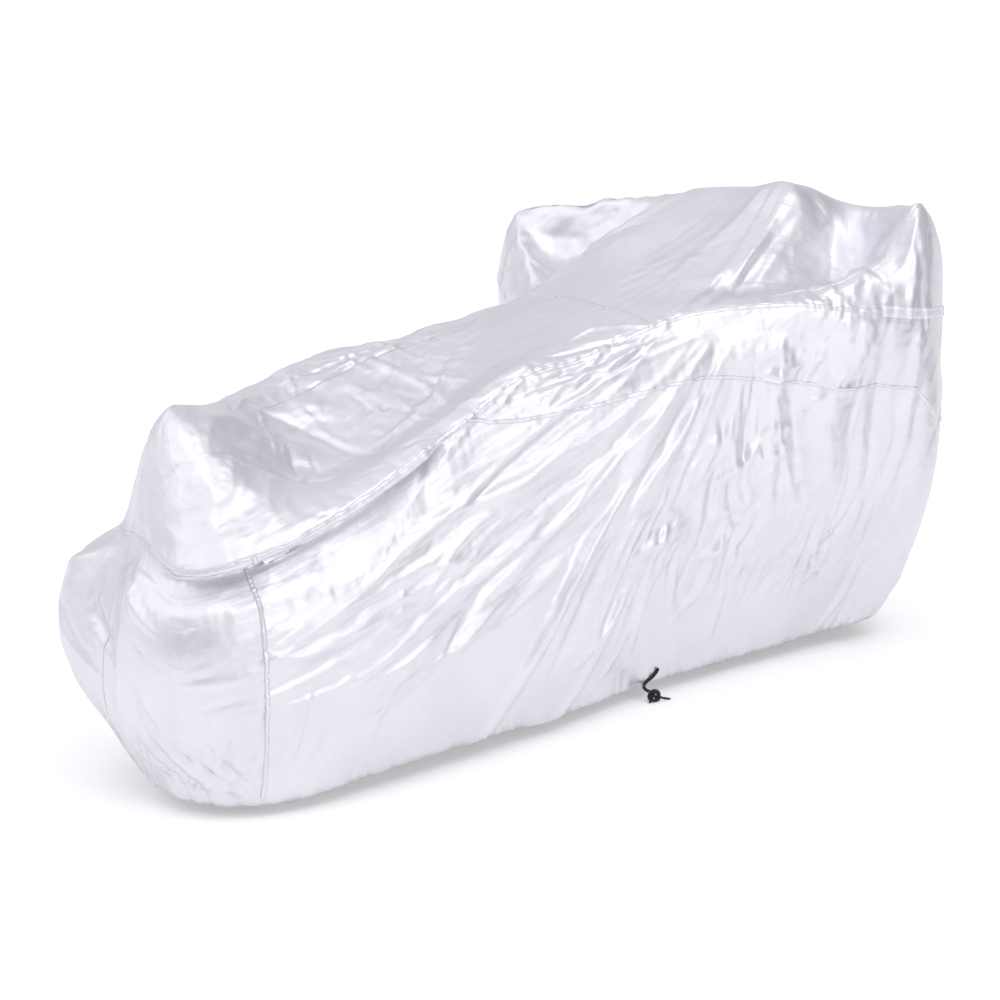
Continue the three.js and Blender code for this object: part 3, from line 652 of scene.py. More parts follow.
TURN_CREASES = [
    # the same round the front and the tail, from one turn to another
    (40, REAR_X, 110, 256, "hem", "seam", 80, 40, 200, 14, 1.8),
    (30, REAR_X, 110, 256, "seam", "spine", 60, 60, 150, 11, 1.5),
    (110, FRONT_X, -90, 90, "hem", "crest", 85, 25, 220, 16, 4.0),
]
PATH_STEP = 0.012
SNAP = 0.014


def on_face(values, face):
    """A face's two measures in millimetres, from the ground up, as metres in the frame."""
    axes, _ = FACES[face]
    spots = np.array(values, float) * MM
    if 2 in axes:
        spots[..., axes.index(2)] -= SADDLE_HEIGHT
    return spots


def lay_on_cloth(path, face, points, normals):
    """The path of a fold, moved along the face's direction on to the outermost cloth there."""
    axes, direction = FACES[face]
    facing = normals @ direction > 0.1
    candidates = points[facing]
    depth = candidates @ direction
    spots = []
    for spot in path:
        away = np.linalg.norm(candidates[:, axes] - spot, axis=1)
        close = np.nonzero(away < max(SNAP, away.min() + 1e-6))[0]
        outermost = close[np.argmax(depth[close])]
        spots.append(candidates[outermost])
    spots = np.array(spots)
    for _ in range(12):
        spots[1:-1] = (spots[:-2] + 2 * spots[1:-1] + spots[2:]) / 4
    return spots


def fold_heights(points, path, half_width, height, sharp):
    """Indices of the points that a fold moves, and how far it moves them along their normals."""
    low, high = path.min(0) - half_width, path.max(0) + half_width
    inside = np.nonzero(np.all((points > low) & (points < high), axis=1))[0]
    here = points[inside]
    nearest = np.full(len(here), np.inf)
    along = np.zeros(len(here))
    for n in range(len(path) - 1):
        run = path[n + 1] - path[n]
        t = np.clip((here - path[n]) @ run / (run @ run), 0, 1)
        away = np.linalg.norm(here - path[n] - t[:, None] * run, axis=1)
        closer = away < nearest
        nearest[closer] = away[closer]
        along[closer] = (n + t[closer]) / (len(path) - 1)
    taper = np.sin(np.pi * np.clip(along, 0, 1)) ** 0.9
    across = np.minimum(nearest / (half_width * (0.4 + 0.6 * taper)), 1)
    crest = sharp * (1 - across) ** 1.2 + (1 - sharp) * (1 - across ** 2) ** 2
    return inside, height * taper * crest


def fan_folds():
    """Folds that fan out from where the cloth is pulled, as face and fold."""
    rng = np.random.default_rng(21)
    for face, centre, headings, starts, count, lengths, half_widths, steepness in FANS:
        for _ in range(count):
            heading = math.radians(rng.uniform(*headings))
            start, length = rng.uniform(*starts), rng.uniform(*lengths)
            bend = rng.normal(0, 0.05)
            spots = []
            for t in (0, 0.33, 0.67, 1):
                reach, turn = start + t * length, heading + bend * t * t
                spots.append((centre[0] + reach * math.cos(turn), centre[1] + reach * math.sin(turn)))
            half_width = rng.uniform(*half_widths)
            height = half_width * rng.uniform(*steepness) * rng.choice([-1, 1, 1])
            yield face, (half_width, height, rng.uniform(0.5, 1), spots)


def with_long_folds(points):
    normals = normals_of(points)
    moved = np.zeros(len(points))
    sparse = np.arange(0, len(points), 3)
    folds = [(face, fold) for face, rows in LONG_FOLDS.items() for fold in rows]
    for face, (half_width, height, sharp, spots) in folds + list(fan_folds()):
        path = curve_through(on_face(spots, face), PATH_STEP)
        path = lay_on_cloth(path, face, points[sparse], normals[sparse])
        inside, heights = fold_heights(points, path, half_width * MM, height * MM, sharp)
        moved[inside] += heights
    return points + normals * moved[:, None]


GRADIENTS = np.random.default_rng(5).normal(size=(1024, 3))
GRADIENTS /= np.linalg.norm(GRADIENTS, axis=1, keepdims=True)


def cell_key(cell, seed):
    """A random number for each cell of a lattice."""
    x, y, z = cell.T
    key = (x * 73856093) ^ (y * 19349663) ^ (z * 83492791) ^ (seed * 2654435761)
    return ((key ^ (key >> 13)) * 1274126177) & 0xFFFFFFFF


def noise(points, seed):
    """Smooth unevenness, about -1 to 1, with one bump to a cell."""
    cell = np.floor(points).astype(np.int64)
    t = points - cell
    ease = t ** 3 * (t * (6 * t - 15) + 10)
    total = np.zeros(len(points))
    for corner in itertools.product((0, 1), repeat=3):
        slope = GRADIENTS[(cell_key(cell + corner, seed) >> 16) & 1023]
        weight = np.prod(np.where(corner, ease, 1 - ease), axis=1)
        total += weight * ((t - corner) * slope).sum(1)
    return 1.7 * total


def ridges(points, seed, wander):
    """Sharp crests that wander over the cells: 1 on a crest and below 0 in the flats between."""
    drift = np.stack([noise(0.6 * points + 9.5 * n, seed + n) for n in (1, 2, 3)], 1)
    value = np.abs(noise(points + wander * drift, seed))
    return (1 - np.minimum(1.7 * value, 1)) ** 1.4 - 0.3


def facets(points, seed):
    """Crumpled cloth: a shallow hollow to a cell, that meets the next in a crisp crest."""
    cell = np.floor(points).astype(np.int64)
    lowest = np.full(len(points), np.inf)
    for step in itertools.product((-1, 0, 1), repeat=3):
        key = cell_key(cell + step, seed)
        away = points - (cell + step + 0.5 + 0.42 * GRADIENTS[(key >> 16) & 1023])
        tilt = GRADIENTS[(key >> 5) & 1023]
        lowest = np.minimum(lowest, (away ** 2).sum(1) + 0.9 * (away * tilt).sum(1) + 0.25 * tilt[:, 0])
    return 1.5 * lowest - 0.1


def crumple_heights(points, normals, row, seed):
    """Uneven crumpled cloth about one spot."""
    face, centre, size, heading, cell, height = row
    axes, direction = FACES[face]
    away = (points[:, axes] - on_face(centre, face)) / (np.array(size) * MM)
    window = np.clip(1 - (away ** 2).sum(1), 0, 1) * np.clip((normals @ direction - 0.05) / 0.3, 0, 1)
    inside = np.nonzero(window > 0)[0]
    ahead, aside = math.cos(math.radians(heading)), math.sin(math.radians(heading))
    a, b = points[inside][:, axes].T
    depth = points[inside] @ np.array(direction)
    here = np.stack([ahead * a + aside * b, ahead * b - aside * a, depth], 1) / (np.array(cell) * MM)
    value = facets(here, seed) + 0.4 * facets(2.3 * here, seed + 20)
    return inside, height * MM * value * window[inside] ** 0.7


def crease_heights(points, normals, moved, station, row, heading, length, half_width, height):
    """One small crease about a grid point of the cloth, added to the heights in moved."""
    reach = int(length / 2 / GRID_STEP) + 2
    around = np.arange(station - reach, station + reach + 1) % STATIONS
    up = np.arange(max(row - reach, 0), min(row + reach, SPINE_ROW - 1) + 1)
    window = ids[np.ix_(around, up)].ravel()
    centre = points[ids[station, row]]
    normal = normals[ids[station, row]]
    forward = np.array([1.0, 0, 0]) - normal[0] * normal
    forward /= np.linalg.norm(forward) + 1e-9
    upward = np.cross(normal, forward)
    upward *= np.sign(upward[2]) if abs(upward[2]) > 0.05 else 1
    run = math.cos(heading) * forward + math.sin(heading) * upward
    away = points[window] - centre
    along = away @ run / (length / 2)
    across = away @ np.cross(normal, run) / half_width
    across = np.abs(across + 0.35 * along ** 2 * np.sign(height))
    taper = np.clip(1 - along ** 2, 0, 1)
    near = np.linalg.norm(away, axis=1) < length
    moved[window] += near * height * taper * np.clip(1 - across, 0, 1) ** 1.5


def with_creases(points):
    rng = np.random.default_rng(11)
    normals = normals_of(points)
    moved = np.zeros(len(points))
    for seed, row in enumerate(CRUMPLES):
        inside, heights = crumple_heights(points, normals, row, 500 + 30 * seed)
        moved[inside] += heights
    sets = [(row[0], place_on_side(row[1], row[3]), place_on_side(row[2], row[3]), row[4:])
            for row in CREASES]
    sets += [(row[0], place_of_turn(row[1], row[2]), place_of_turn(row[1], row[3]), row[4:])
             for row in TURN_CREASES]
    for count, first, last, (ring_from, ring_to, heading, spread, longest, half_width, height) in sets:
        low, high = sorted((float(first), float(last)))
        found = np.nonzero((place >= low) & (place <= high))[0]
        for _ in range(count):
            station = rng.choice(found)
            row = rng.integers(RING_ROW[ring_from], RING_ROW[ring_to])
            turn = math.radians(heading + spread * rng.normal(0, 0.6))
            length = longest * MM * rng.uniform(0.3, 1)
            width = half_width * MM * rng.uniform(0.7, 1.6)
            size = height * MM * rng.uniform(0.3, 1) * rng.choice([-1, 1])
            crease_heights(points, normals, moved, station, row, turn, length, width, size)
    return points + normals * moved[:, None]


PUCKER_CELL = 0.016
PUCKER_HEIGHT = 0.0022
PUCKER_REACH = 0.026
HEM_CELL = 0.021
HEM_HEIGHT = 0.006
HEM_REACH = 0.05
HEM_CURL = 0.018


def with_gathers(points):
    """Puckers beside the seams, gathers above the elastic, and the hem curled in under itself."""
    normals = normals_of(points)
    flat = np.stack([flat_along, flat_above, np.zeros(len(points))], 1)
    moved = np.zeros(len(points))
    for seed, height_above in ((701, above_seam), (702, above_stitches)):
        beside = np.abs(welded(height_above))
        fine = noise(flat / [PUCKER_CELL, 0.09, 1], seed)
        pucker = fine + 0.5 * noise(flat / [3 * PUCKER_CELL, 0.12, 1], seed + 5)
        moved += PUCKER_HEIGHT * pucker * np.exp(-beside / PUCKER_REACH)
    hem = welded(above_hem)
    behind = np.exp(-((points[:, 0] / MM + 960) / 130) ** 2)
    drawn = np.exp(-hem / (HEM_REACH * (1 + 2.6 * behind)))
    slanted = (flat_along + 0.35 * hem) / HEM_CELL
    gather = ridges(np.stack([slanted, hem / 0.25, np.zeros(len(hem))], 1), 711, 0.25)
    moved += HEM_HEIGHT * gather * drawn
    moved -= 0.008 * np.clip(1 - hem / HEM_CURL, 0, 1) ** 2
    return points + normals * moved[:, None]


TAIL_ROUNDING = 320


def with_round_tail(grid):
    """The sections' corner at the tail, rounded off along the loop of stations."""
    grid = grid.copy()
    soft = np.clip((-640 - spine_x) / 140, 0, 1)
    part = np.nonzero(soft > 0)[0]
    before, after = (part - 1) % STATIONS, (part + 1) % STATIONS
    from_spine = np.clip((SPINE_ROW - np.arange(ROWS)) / 25, 0, 1)
    soft = 0.5 * soft[part, None, None] * from_spine[None, :, None]
    for _ in range(TAIL_ROUNDING):
        grid[part] += soft * ((grid[before] + grid[after]) / 2 - grid[part])
    return grid


# How far the lip and the cloth below it stand out, at heights above the long seam.
LIP_HEIGHTS = [-0.22, -0.13, -0.05, -0.013, -0.004, 0.004, 0.03, 0.10]
LIP_OUT = [0, -0.006, -0.013, -0.016, 0.013, 0.014, 0.008, 0]


def with_lip(points):
    """The saddle panel's edge, which hangs as a lip over the flank behind the saddle."""
    normals = normals_of(points)
    above = welded(above_seam)
    x = points[:, 0] / MM
    window = np.clip((-395 - x) / 60, 0, 1) * np.clip((x + 1035) / 150, 0, 1)
    window *= np.clip((-0.1 - points[:, 1]) / 0.05, 0, 1)
    out = np.interp(above, LIP_HEIGHTS, LIP_OUT)
    return points + normals * (window * out)[:, None]


cloth = welded(with_round_tail(rows))
cloth = with_long_folds(cloth)
cloth = with_creases(cloth)
cloth = with_lip(cloth)
cloth = with_gathers(cloth)
cloth[:, 2] = np.maximum(cloth[:, 2], 0.004 - SADDLE_HEIGHT)
cloth_normals = normals_of(cloth)

# ---------------------------------------------------------------- panels

UPPER_PANEL_START = -350
UPPER_PANEL_WEDGE = 60
SCREEN_PANEL_START = 130
NEAR_POCKET_START = 414
FAR_POCKET_START = 366
FRONT_SEAM_TURN = 52


def upper_seam_row(x):
    """The row of the upper panel's lower seam, which starts on the long seam and drops to the waist."""
    drop = np.clip((x - UPPER_PANEL_START) / UPPER_PANEL_WEDGE, 0, 1)
    return SEAM_ROW - drop * (SEAM_ROW - RING_ROW["waist"])


def panel_names():
    """The panel that each quad of the cloth belongs to."""
    spot = np.repeat(place[:, None], SPINE_ROW, axis=1)
    row = np.repeat(np.arange(SPINE_ROW)[None, :], STATIONS, axis=0)
    front_near = place_of_turn(FRONT_X, -FRONT_SEAM_TURN)
    front_far = place_of_turn(FRONT_X, FRONT_SEAM_TURN)
    rear_far = place_on_side(REAR_SIDE_X, 1)
    near, far = spot < front_near, (spot >= front_far) & (spot < rear_far)
    front = (spot >= front_near) & (spot < front_far)
    upper = (row >= upper_seam_row(spine_x)[:, None] - 0.5) & (row < SEAM_ROW)
    top = row >= SEAM_ROW
    pocket = top & (row < RING_ROW["crest"])
    screen_near, screen_far = place_on_side(SCREEN_PANEL_START, -1), place_on_side(SCREEN_PANEL_START, 1)
    names = np.full(spot.shape, "rear_panel", dtype="U20")
    names[near] = "side_panel_near"
    names[far] = "side_panel_far"
    names[front] = "front_panel"
    names[near & upper & (spot >= place_on_side(UPPER_PANEL_START, -1))] = "upper_side_near"
    names[far & upper & (spot < place_on_side(UPPER_PANEL_START, 1))] = "upper_side_far"
    names[top] = "saddle_panel"
    names[top & (spot >= screen_near) & (spot < screen_far)] = "screen_panel"
    names[pocket & near & (spot >= place_on_side(NEAR_POCKET_START, -1))] = "bar_pocket_near"
    names[pocket & far & (spot < place_on_side(FAR_POCKET_START, 1))] = "bar_pocket_far"
    return names


def apply_modifiers(piece):
    bpy.ops.object.select_all(action="DESELECT")
    bpy.context.view_layer.objects.active = piece
    piece.select_set(True)
    for modifier in list(piece.modifiers):
        bpy.ops.object.modifier_apply(modifier=modifier.name)
    bpy.ops.object.shade_smooth_by_angle(angle=math.radians(70))
    piece.select_set(False)


def panel_piece(name, points, names, material):
    faces = quads[names == name]
    used, local = np.unique(faces, return_inverse=True)
    faces = local.reshape(-1, 4).tolist()
    faces = [face if len(set(face)) == 4 else list(dict.fromkeys(face)) for face in faces]
    piece = mesh_object("cloth_" + name, points[used], faces)
    # the flat cloth: along the machine, and up from the long seam
    add_map(piece, "flat_cloth", flat_along[used], flat_above[used])
    solid = piece.modifiers.new("thickness", "SOLIDIFY")
    solid.thickness = CLOTH
    solid.offset = -1
    apply_modifiers(piece)
    piece.data.materials.append(material)
    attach(piece, "root")
    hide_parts(name)
    return piece


# ---------------------------------------------------------------- materials

def silver_cloth_material():
    """Silver-coated taffeta: satin sheen, fine crinkles, a fine plain weave and faint unevenness."""
    material, nodes, links = new_material("silver_cloth")
    shader = nodes["Principled BSDF"]
    spot = nodes.new("ShaderNodeTexCoord")
    flat = nodes.new("ShaderNodeUVMap")
    flat.uv_map = "flat_cloth"
    patches = uneven(nodes, links, spot.outputs["Object"], 5, 4, 0.5)
    rubbed = uneven(nodes, links, spot.outputs["Object"], 38, 5)
    tint = nodes.new("ShaderNodeMix")
    tint.data_type = "RGBA"
    tint.inputs["A"].default_value = (0.73, 0.722, 0.765, 1)
    tint.inputs["B"].default_value = (0.785, 0.78, 0.82, 1)
    links.new(ranged(nodes, links, patches, 0, 1), tint.inputs["Factor"])
    links.new(tint.outputs["Result"], shader.inputs["Base Color"])
    links.new(ranged(nodes, links, rubbed, 0.33, 0.42), shader.inputs["Roughness"])
    shader.inputs["Metallic"].default_value = 0.75
    weave = thread_bands(nodes, links, flat.outputs["UV"], "X", 900)
    weft = thread_bands(nodes, links, flat.outputs["UV"], "Y", 900)
    normal = relief(nodes, links, weave, 0.00003)
    normal = relief(nodes, links, weft, 0.00003, normal)
    crinkles = uneven(nodes, links, spot.outputs["Object"], 26, 3, 0.6, "RIDGED_MULTIFRACTAL")
    normal = relief(nodes, links, crinkles, 0.0007, normal)
    streaks = turned(nodes, links, flat.outputs["UV"], -38, (4, 34, 1))
    normal = relief(nodes, links, uneven(nodes, links, streaks, 1, 3, 0.3), 0.0018, normal)
    links.new(normal, shader.inputs["Normal"])
    return material


def seam_tape_material():
    """Silver tape folded over the seam: a tighter weave than the cloth and a little paler."""
    material, nodes, links = new_material("seam_tape")
    shader = nodes["Principled BSDF"]
    spot = nodes.new("ShaderNodeTexCoord")
    flat = nodes.new("ShaderNodeUVMap")
    flat.uv_map = "flat_cloth"
    tint = nodes.new("ShaderNodeMix")
    tint.data_type = "RGBA"
    tint.inputs["A"].default_value = (0.80, 0.80, 0.85, 1)
    tint.inputs["B"].default_value = (0.87, 0.87, 0.90, 1)
    links.new(ranged(nodes, links, uneven(nodes, links, spot.outputs["Object"], 60, 4), 0, 1),
              tint.inputs["Factor"])
    links.new(tint.outputs["Result"], shader.inputs["Base Color"])
    links.new(ranged(nodes, links, uneven(nodes, links, spot.outputs["Object"], 120, 3), 0.36, 0.46),
              shader.inputs["Roughness"])
    shader.inputs["Metallic"].default_value = 0.5
    normal = relief(nodes, links, thread_bands(nodes, links, flat.outputs["UV"], "X", 700), 0.00008)
    normal = relief(nodes, links, thread_bands(nodes, links, flat.outputs["UV"], "Y", 700), 0.00008, normal)
    puckers = uneven(nodes, links, spot.outputs["Object"], 90, 3, 0.5, "RIDGED_MULTIFRACTAL")
    normal = relief(nodes, links, puckers, 0.0006, normal)
    links.new(normal, shader.inputs["Normal"])
    return material


def stitch_thread_material():
    """Pale grey polyester thread, twisted."""
    material, nodes, links = new_material("stitch_thread")
    shader = nodes["Principled BSDF"]
    spot = nodes.new("ShaderNodeTexCoord")
    tint = nodes.new("ShaderNodeMix")
    tint.data_type = "RGBA"
    tint.inputs["A"].default_value = (0.60, 0.60, 0.66, 1)
    tint.inputs["B"].default_value = (0.78, 0.78, 0.82, 1)
    links.new(uneven(nodes, links, spot.outputs["Object"], 400, 2), tint.inputs["Factor"])
    links.new(tint.outputs["Result"], shader.inputs["Base Color"])
    shader.inputs["Roughness"].default_value = 0.55
    twist = thread_bands(nodes, links, spot.outputs["Object"], "DIAGONAL", 1500)
    links.new(relief(nodes, links, twist, 0.0001), shader.inputs["Normal"])
    return material


silver_cloth = silver_cloth_material()
stitch_thread = stitch_thread_material()

names = panel_names()
panels = {name: panel_piece(name, cloth, names, silver_cloth) for name in np.unique(names)}
# ---------------------------------------------------------------- seams, stitches and tapes

grid = cloth[ids]
grid_normals = cloth_normals[ids]
FRONT_FIRST = SIDE_STEPS
FAR_FIRST = SIDE_STEPS + FRONT_STEPS
SIDE_SPAN = FRONT_X - REAR_SIDE_X


def near_station(x):
    return math.ceil((x - REAR_SIDE_X) / SIDE_SPAN * SIDE_STEPS - 1e-6)


def far_station(x):
    return FAR_FIRST + math.ceil((FRONT_X - x) / SIDE_SPAN * SIDE_STEPS - 1e-6)


def front_station(turn):
    return FRONT_FIRST + math.ceil((turn + 90) / 180 * FRONT_STEPS - 1e-6)


def sampled(values, stations, at_rows):
    """Values of the grid at fractional stations and rows."""
    i = np.floor(stations).astype(int)
    j = np.clip(np.floor(at_rows).astype(int), 0, ROWS - 2)
    s, t = (stations - i)[:, None], (at_rows - j)[:, None]
    i, k = i % STATIONS, (i + 1) % STATIONS
    low = values[i, j] * (1 - s) + values[k, j] * s
    high = values[i, j + 1] * (1 - s) + values[k, j + 1] * s
    return low * (1 - t) + high * t


def seam_line(stations, at_rows, step):
    """Points and normals at even steps along a line of the cloth, given by stations and rows."""
    points = sampled(grid, stations, at_rows)
    run = np.concatenate([[0], np.cumsum(np.linalg.norm(np.diff(points, axis=0), axis=1))])
    even = np.linspace(0, run[-1], max(int(run[-1] / step), 2))
    stations, at_rows = np.interp(even, run, stations), np.interp(even, run, at_rows)
    points, normals = sampled(grid, stations, at_rows), sampled(grid_normals, stations, at_rows)
    ahead = np.gradient(points, axis=0)
    ahead /= np.linalg.norm(ahead, axis=1, keepdims=True)
    aside = np.cross(normals, ahead)
    aside /= np.linalg.norm(aside, axis=1, keepdims=True)
    return points, normals, aside, even


def whole(first, last):
    return np.arange(first, last + 1, dtype=float)


def level(first, last, row):
    stations = whole(first, last)
    return stations, np.full(len(stations), float(row))


def upright(station, first_row, last_row):
    at_rows = whole(first_row, last_row)
    return np.full(len(at_rows), float(station)), at_rows


def seam_lines():
    """Where each seam runs, as stations and rows of the cloth."""
    crest = RING_ROW["crest"]
    near_tip, far_tip = near_station(UPPER_PANEL_START), far_station(UPPER_PANEL_START)
    front_near, front_far = front_station(-FRONT_SEAM_TURN), front_station(FRONT_SEAM_TURN)
    near_stitches, far_stitches = whole(near_tip, front_near), whole(front_far, far_tip)
    cross_near, cross_far = near_station(SCREEN_PANEL_START), far_station(SCREEN_PANEL_START)
    pocket_near, pocket_far = near_station(NEAR_POCKET_START), far_station(FAR_POCKET_START)
    return {
        "long_seam": level(0, STATIONS, SEAM_ROW),
        "upper_seam_near": (near_stitches, upper_seam_row(spine_x[near_stitches.astype(int)])),
        "upper_seam_far": (far_stitches, upper_seam_row(spine_x[far_stitches.astype(int)])),
        "rear_seam_near": upright(0, 1, SEAM_ROW),
        "rear_seam_far": upright(far_station(REAR_SIDE_X), 1, SEAM_ROW),
        "front_seam_near": upright(front_near, 1, SEAM_ROW),
        "front_seam_far": upright(front_far, 1, SEAM_ROW),
        "cross_seam_near": upright(cross_near, SEAM_ROW, SPINE_ROW),
        "cross_seam_far": upright(cross_far, SEAM_ROW, SPINE_ROW),
        "pocket_seam_near": level(pocket_near, front_near, crest),
        "pocket_seam_far": level(front_far, pocket_far, crest),
        "pocket_end_near": upright(pocket_near, SEAM_ROW, crest),
        "pocket_end_far": upright(pocket_far, SEAM_ROW, crest),
    }


# The seam's turned edge, across and up in millimetres, and the beads of a gathered seam.
SEAM_EDGE = [
    (-4.4, -0.9), (-4.4, 0.2), (-2.8, 1.6), (0, 1.1), (2.8, 1.9), (4.4, 0.4), (4.4, -0.9), (0, -1.0),
]
SEAM_STEP = 0.0035
BEADED = {"rear_seam_near": 1.8, "rear_seam_far": 1.8}
BEADED_WIDTH = 1.1
BEAD_LENGTH = 0.011
STITCH_EVERY = 0.006
STITCH_LENGTH = 0.0038
STITCH_BODY = [(-0.5, -0.6), (0.5, -0.6), (0.3, 0.35), (-0.3, 0.35)]
STITCH_ROWS = (-2.8, 2.8)


def seam_and_stitches(name, line):
    points, normals, aside, run = seam_line(*line, SEAM_STEP)
    flat = np.stack([run / 0.011, np.zeros(len(run)), np.zeros(len(run))], 1)
    beads = BEADED.get(name, 0) * MM * np.abs(np.sin(np.pi * run / BEAD_LENGTH))
    swell = (1 + 0.35 * noise(flat, 900)) * (BEADED_WIDTH if name in BEADED else 1)
    body = []
    for across, up in SEAM_EDGE:
        rise = up * MM * swell + (beads if up > 0 else 0)
        body.append(points + aside * (across * MM * swell)[:, None] + normals * rise[:, None])
    body = np.stack(body, 1)
    seam = mesh_object("cloth_" + name, body.reshape(-1, 3), bands(body.shape[:2]))
    seam.data.materials.append(silver_cloth)
    edge_across = np.array(SEAM_EDGE)[:, 0] * MM
    add_map(seam, "flat_cloth", np.repeat(run, len(SEAM_EDGE)), np.tile(edge_across, len(run)))
    spots, faces = [], []
    for across in STITCH_ROWS:
        starts = np.arange(STITCH_EVERY / 2, run[-1] - STITCH_EVERY, STITCH_EVERY)
        for ends in np.stack([starts, starts + STITCH_LENGTH], 1):
            first = len(spots)
            for at in ends:
                n = int(np.searchsorted(run, at).clip(1, len(run) - 1))
                t = (at - run[n - 1]) / (run[n] - run[n - 1])
                middle = points[n - 1] * (1 - t) + points[n] * t
                lift = 1.6 * MM * swell[n] + beads[n]
                for side, up in STITCH_BODY:
                    spots.append(middle + aside[n] * (across * swell[n] + side) * MM
                                 + normals[n] * (lift + up * MM))
            faces += [tuple(first + k for k in face) for face in bands((2, len(STITCH_BODY)))]
    stitches = mesh_object("stitches_" + name, np.array(spots), faces)
    stitches.data.materials.append(stitch_thread)
    for piece in (seam, stitches):
        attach(piece, "root")
    return seam, stitches


seams = {name: seam_and_stitches(name, line) for name, line in seam_lines().items()}

TAPE_HALF_WIDTH = 0.0125
TAPE_FROM = 640
TAPE_TO_TURN = {"near": -72, "far": 74}
TAPE_GATHER = 0.085
TAPE_STEP = 0.0022


def resampled(values, run, fine):
    """Rows of points at the places along a run, drawn again at finer places."""
    columns = [[np.interp(fine, run, values[:, n, axis]) for axis in range(3)]
               for n in range(values.shape[1])]
    return np.stack(columns, 0).transpose(2, 0, 1)


def pocket_tape(side):
    """The tape over the seam below a handlebar pocket, drawn into gathers at its front end."""
    if side == "near":
        stations = whole(near_station(TAPE_FROM), front_station(TAPE_TO_TURN[side]))
    else:
        stations = whole(front_station(TAPE_TO_TURN[side]), far_station(TAPE_FROM))[::-1]
    columns = stations.astype(int)
    offsets = TAPE_HALF_WIDTH * np.array([-1, -0.96, -0.8, -0.4, 0, 0.4, 0.8, 0.96, 1])
    lifts = MM * np.array([0.2, 1.5, 1.7, 1.1, 1.2, 1.1, 1.7, 1.5, 0.2])
    spots, ups = [], []
    for column in columns:
        heights = above_seam[column]
        spots.append(np.stack([np.interp(offsets, heights, grid[column, :, axis]) for axis in range(3)], 1))
        ways = grid_normals[column]
        ups.append(np.stack([np.interp(offsets, heights, ways[:, axis]) for axis in range(3)], 1))
    spots, ups = np.array(spots), np.array(ups)
    middle = spots[:, 4]
    run = np.concatenate([[0], np.cumsum(np.linalg.norm(np.diff(middle, axis=0), axis=1))])
    fine = np.linspace(0, run[-1], int(run[-1] / TAPE_STEP))
    spots, ups = resampled(spots, run, fine), resampled(ups, run, fine)
    ups /= np.linalg.norm(ups, axis=2, keepdims=True)
    near_end = np.clip(1 - (run[-1] - fine) / TAPE_GATHER, 0, 1)
    flat = np.stack([fine / 0.012, np.zeros(len(fine)), np.zeros(len(fine))], 1)
    pleats = (0.5 * noise(flat, 930) + 0.5) * (0.6 + 5.5 * near_end) * MM
    shape = np.array([0, 0.5, 1, 0.75, 0.6, 0.75, 1, 0.5, 0])
    rise = lifts[None] + pleats[:, None] * shape[None]
    outer = spots + ups * rise[..., None]
    inner = spots[:, ::-1] - ups[:, ::-1] * 0.0004
    body = np.concatenate([outer, inner], 1)
    tape = mesh_object("tape_over_pocket_seam_" + side, body.reshape(-1, 3), bands(body.shape[:2]))
    turned_out(tape)
    round_tape = np.concatenate([offsets, offsets[::-1]])
    add_map(tape, "flat_cloth", np.repeat(fine, len(round_tape)), np.tile(round_tape, len(fine)))
    tape.data.materials.append(seam_tape)
    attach(tape, "root")
    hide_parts("pocket_tape_" + side)
    return tape


seam_tape = seam_tape_material()
tapes = {side: pocket_tape(side) for side in ("near", "far")}
for pair in seams.values():
    for piece in pair:
        turned_out(piece)

ON_PANEL = {
    # the seams, with their stitches, and tapes that are sewn on each panel
    "screen_panel": ["cross_seam_near", "cross_seam_far", "pocket_seam_near", "pocket_seam_far"],
    "saddle_panel": ["long_seam"],
    "side_panel_near": ["upper_seam_near"],
    "side_panel_far": ["upper_seam_far"],
    "bar_pocket_near": ["pocket_end_near"],
    "bar_pocket_far": ["pocket_end_far"],
    "front_panel": ["front_seam_near", "front_seam_far"],
    "rear_panel": ["rear_seam_near", "rear_seam_far"],
}
for name, piece in panels.items():
    sewn = [piece for seam in ON_PANEL.get(name, []) for piece in seams[seam]]
    sewn += [tape for side, tape in tapes.items() if name == "bar_pocket_" + side]

# ---------------------------------------------------------------- floor and light
FLOOR_REACH = 9e4
CARD_GLOW = 0.7


def paint(piece, name, colour, roughness, glow, strength):
    """A plain matt paint that glows a little."""
    material, nodes, links = new_material(name)
    shader = nodes["Principled BSDF"]
    shader.inputs["Base Color"].default_value = (*colour, 1)
    shader.inputs["Roughness"].default_value = roughness
    shader.inputs["Emission Color"].default_value = (*glow, 1)
    shader.inputs["Emission Strength"].default_value = strength
    piece.data.materials.append(material)


def add_floor():
    reach = FLOOR_REACH
    corners = [[-reach, -reach, 0], [reach, -reach, 0], [reach, reach, 0], [-reach, reach, 0]]
    floor = mesh_object("floor", from_ground(corners), [[0, 1, 2, 3]])
    paint(floor, "floor_paint", (0.80, 0.80, 0.81), 0.8, (1, 1, 1), FLOOR_GLOW)


def add_softbox(name, place, aim, size, power):
    data = bpy.data.lights.new(name, "AREA")
    data.shape = "RECTANGLE"
    data.size, data.size_y = size
    data.energy = power
    light = bpy.data.objects.new(name, data)
    bpy.context.collection.objects.link(light)
    light.location = place
    run = np.array(aim) - np.array(place)
    tip = math.atan2(math.hypot(run[0], run[1]), -run[2])
    light.rotation_euler = (tip, 0, math.atan2(run[0], -run[1]) + math.pi)


def add_grey_card(name, place, turn, size, colour):
    """A grey card that stands out of view, for the cloth to mirror."""
    bpy.ops.mesh.primitive_plane_add(size=1, location=place, rotation=[math.radians(angle) for angle in turn])
    card = bpy.context.object
    card.name = name
    card.scale = (size[0], size[1], 1)
    paint(card, name, (0.3, 0.3, 0.3), 0.9, colour, CARD_GLOW)
    card.visible_camera = False


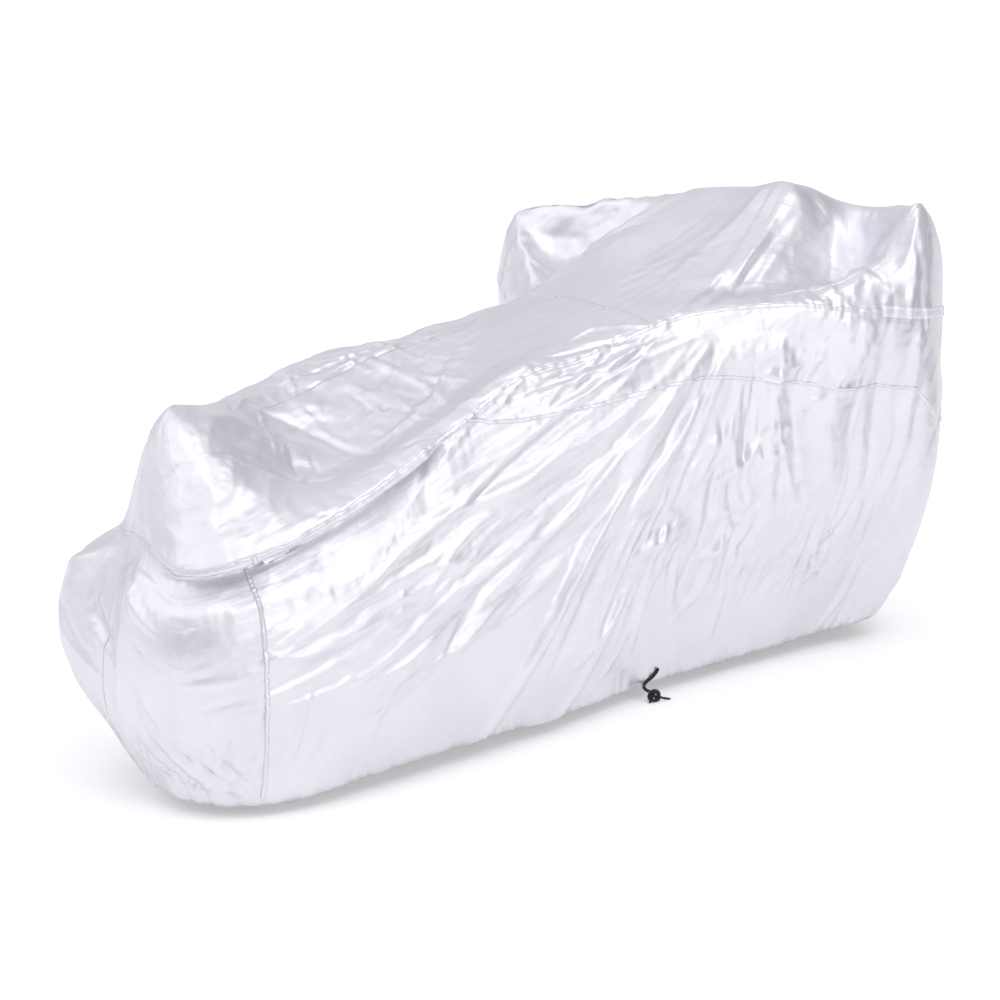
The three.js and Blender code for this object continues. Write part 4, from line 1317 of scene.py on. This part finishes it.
# The studio's ceiling and walls, as broad soft panels. Each row: the way a panel lies from the
# cover, how bright its middle is, and the cosine of the angle off its middle where it has faded out.
FLOOR_GLOW = 0.32
PANEL_FULL = 1.0
WALLS = [
    # ceiling, over the tail rather than the handlebar
    ((-0.3, 0, 1), 0.7, 0.5),
    # long window wall on the tail's side
    ((-1, 0.3, 0.5), 0.8, 0.4),
    # wall behind the near side, above eye level
    ((-0.2, -1, 0.8), 0.7, 0.5),
    # far wall
    ((0.2, 1, 0.4), 0.7, 0.4),
    # wall past the front wheel, the dimmest
    ((1, -0.2, 0.5), 0.5, 0.3),
]


def add_world():
    """A pale studio whose walls and ceiling are of uneven brightness."""
    world = bpy.data.worlds.new("studio")
    bpy.context.scene.world = world
    world.use_nodes = True
    nodes, links = world.node_tree.nodes, world.node_tree.links
    direction = nodes.new("ShaderNodeTexCoord")
    total = None
    for middle, brightness, edge in WALLS:
        facing = nodes.new("ShaderNodeVectorMath")
        facing.operation = "DOT_PRODUCT"
        facing.inputs[1].default_value = np.array(middle) / np.linalg.norm(middle)
        span = nodes.new("ShaderNodeMapRange")
        span.interpolation_type = "SMOOTHSTEP"
        span.inputs["From Min"].default_value = edge
        span.inputs["From Max"].default_value = PANEL_FULL
        span.inputs["To Max"].default_value = brightness
        links.new(direction.outputs["Generated"], facing.inputs[0])
        links.new(facing.outputs["Value"], span.inputs["Value"])
        if total is None:
            total = span.outputs["Result"]
            continue
        both = nodes.new("ShaderNodeMath")
        links.new(total, both.inputs[0])
        links.new(span.outputs["Result"], both.inputs[1])
        total = both.outputs["Value"]
    links.new(total, nodes["Background"].inputs["Strength"])
    nodes["Background"].inputs["Color"].default_value = (0.995, 0.995, 1.03, 1)
    bpy.context.scene.view_settings.view_transform = "Standard"


add_floor()
add_softbox("top_softbox", (0.4, -2.6, 3.4), (0, 0, -0.2), (1.4, 1.2), 20)
add_softbox("fold_softbox", (0.2, -4.3, 0.9), (0, 0, -0.3), (1.1, 1.4), 20)
add_grey_card("right_card", (2.35, -1.7, -0.1), (90, 0, 90), (2.4, 1.6), (0.10, 0.098, 0.115))
add_world()
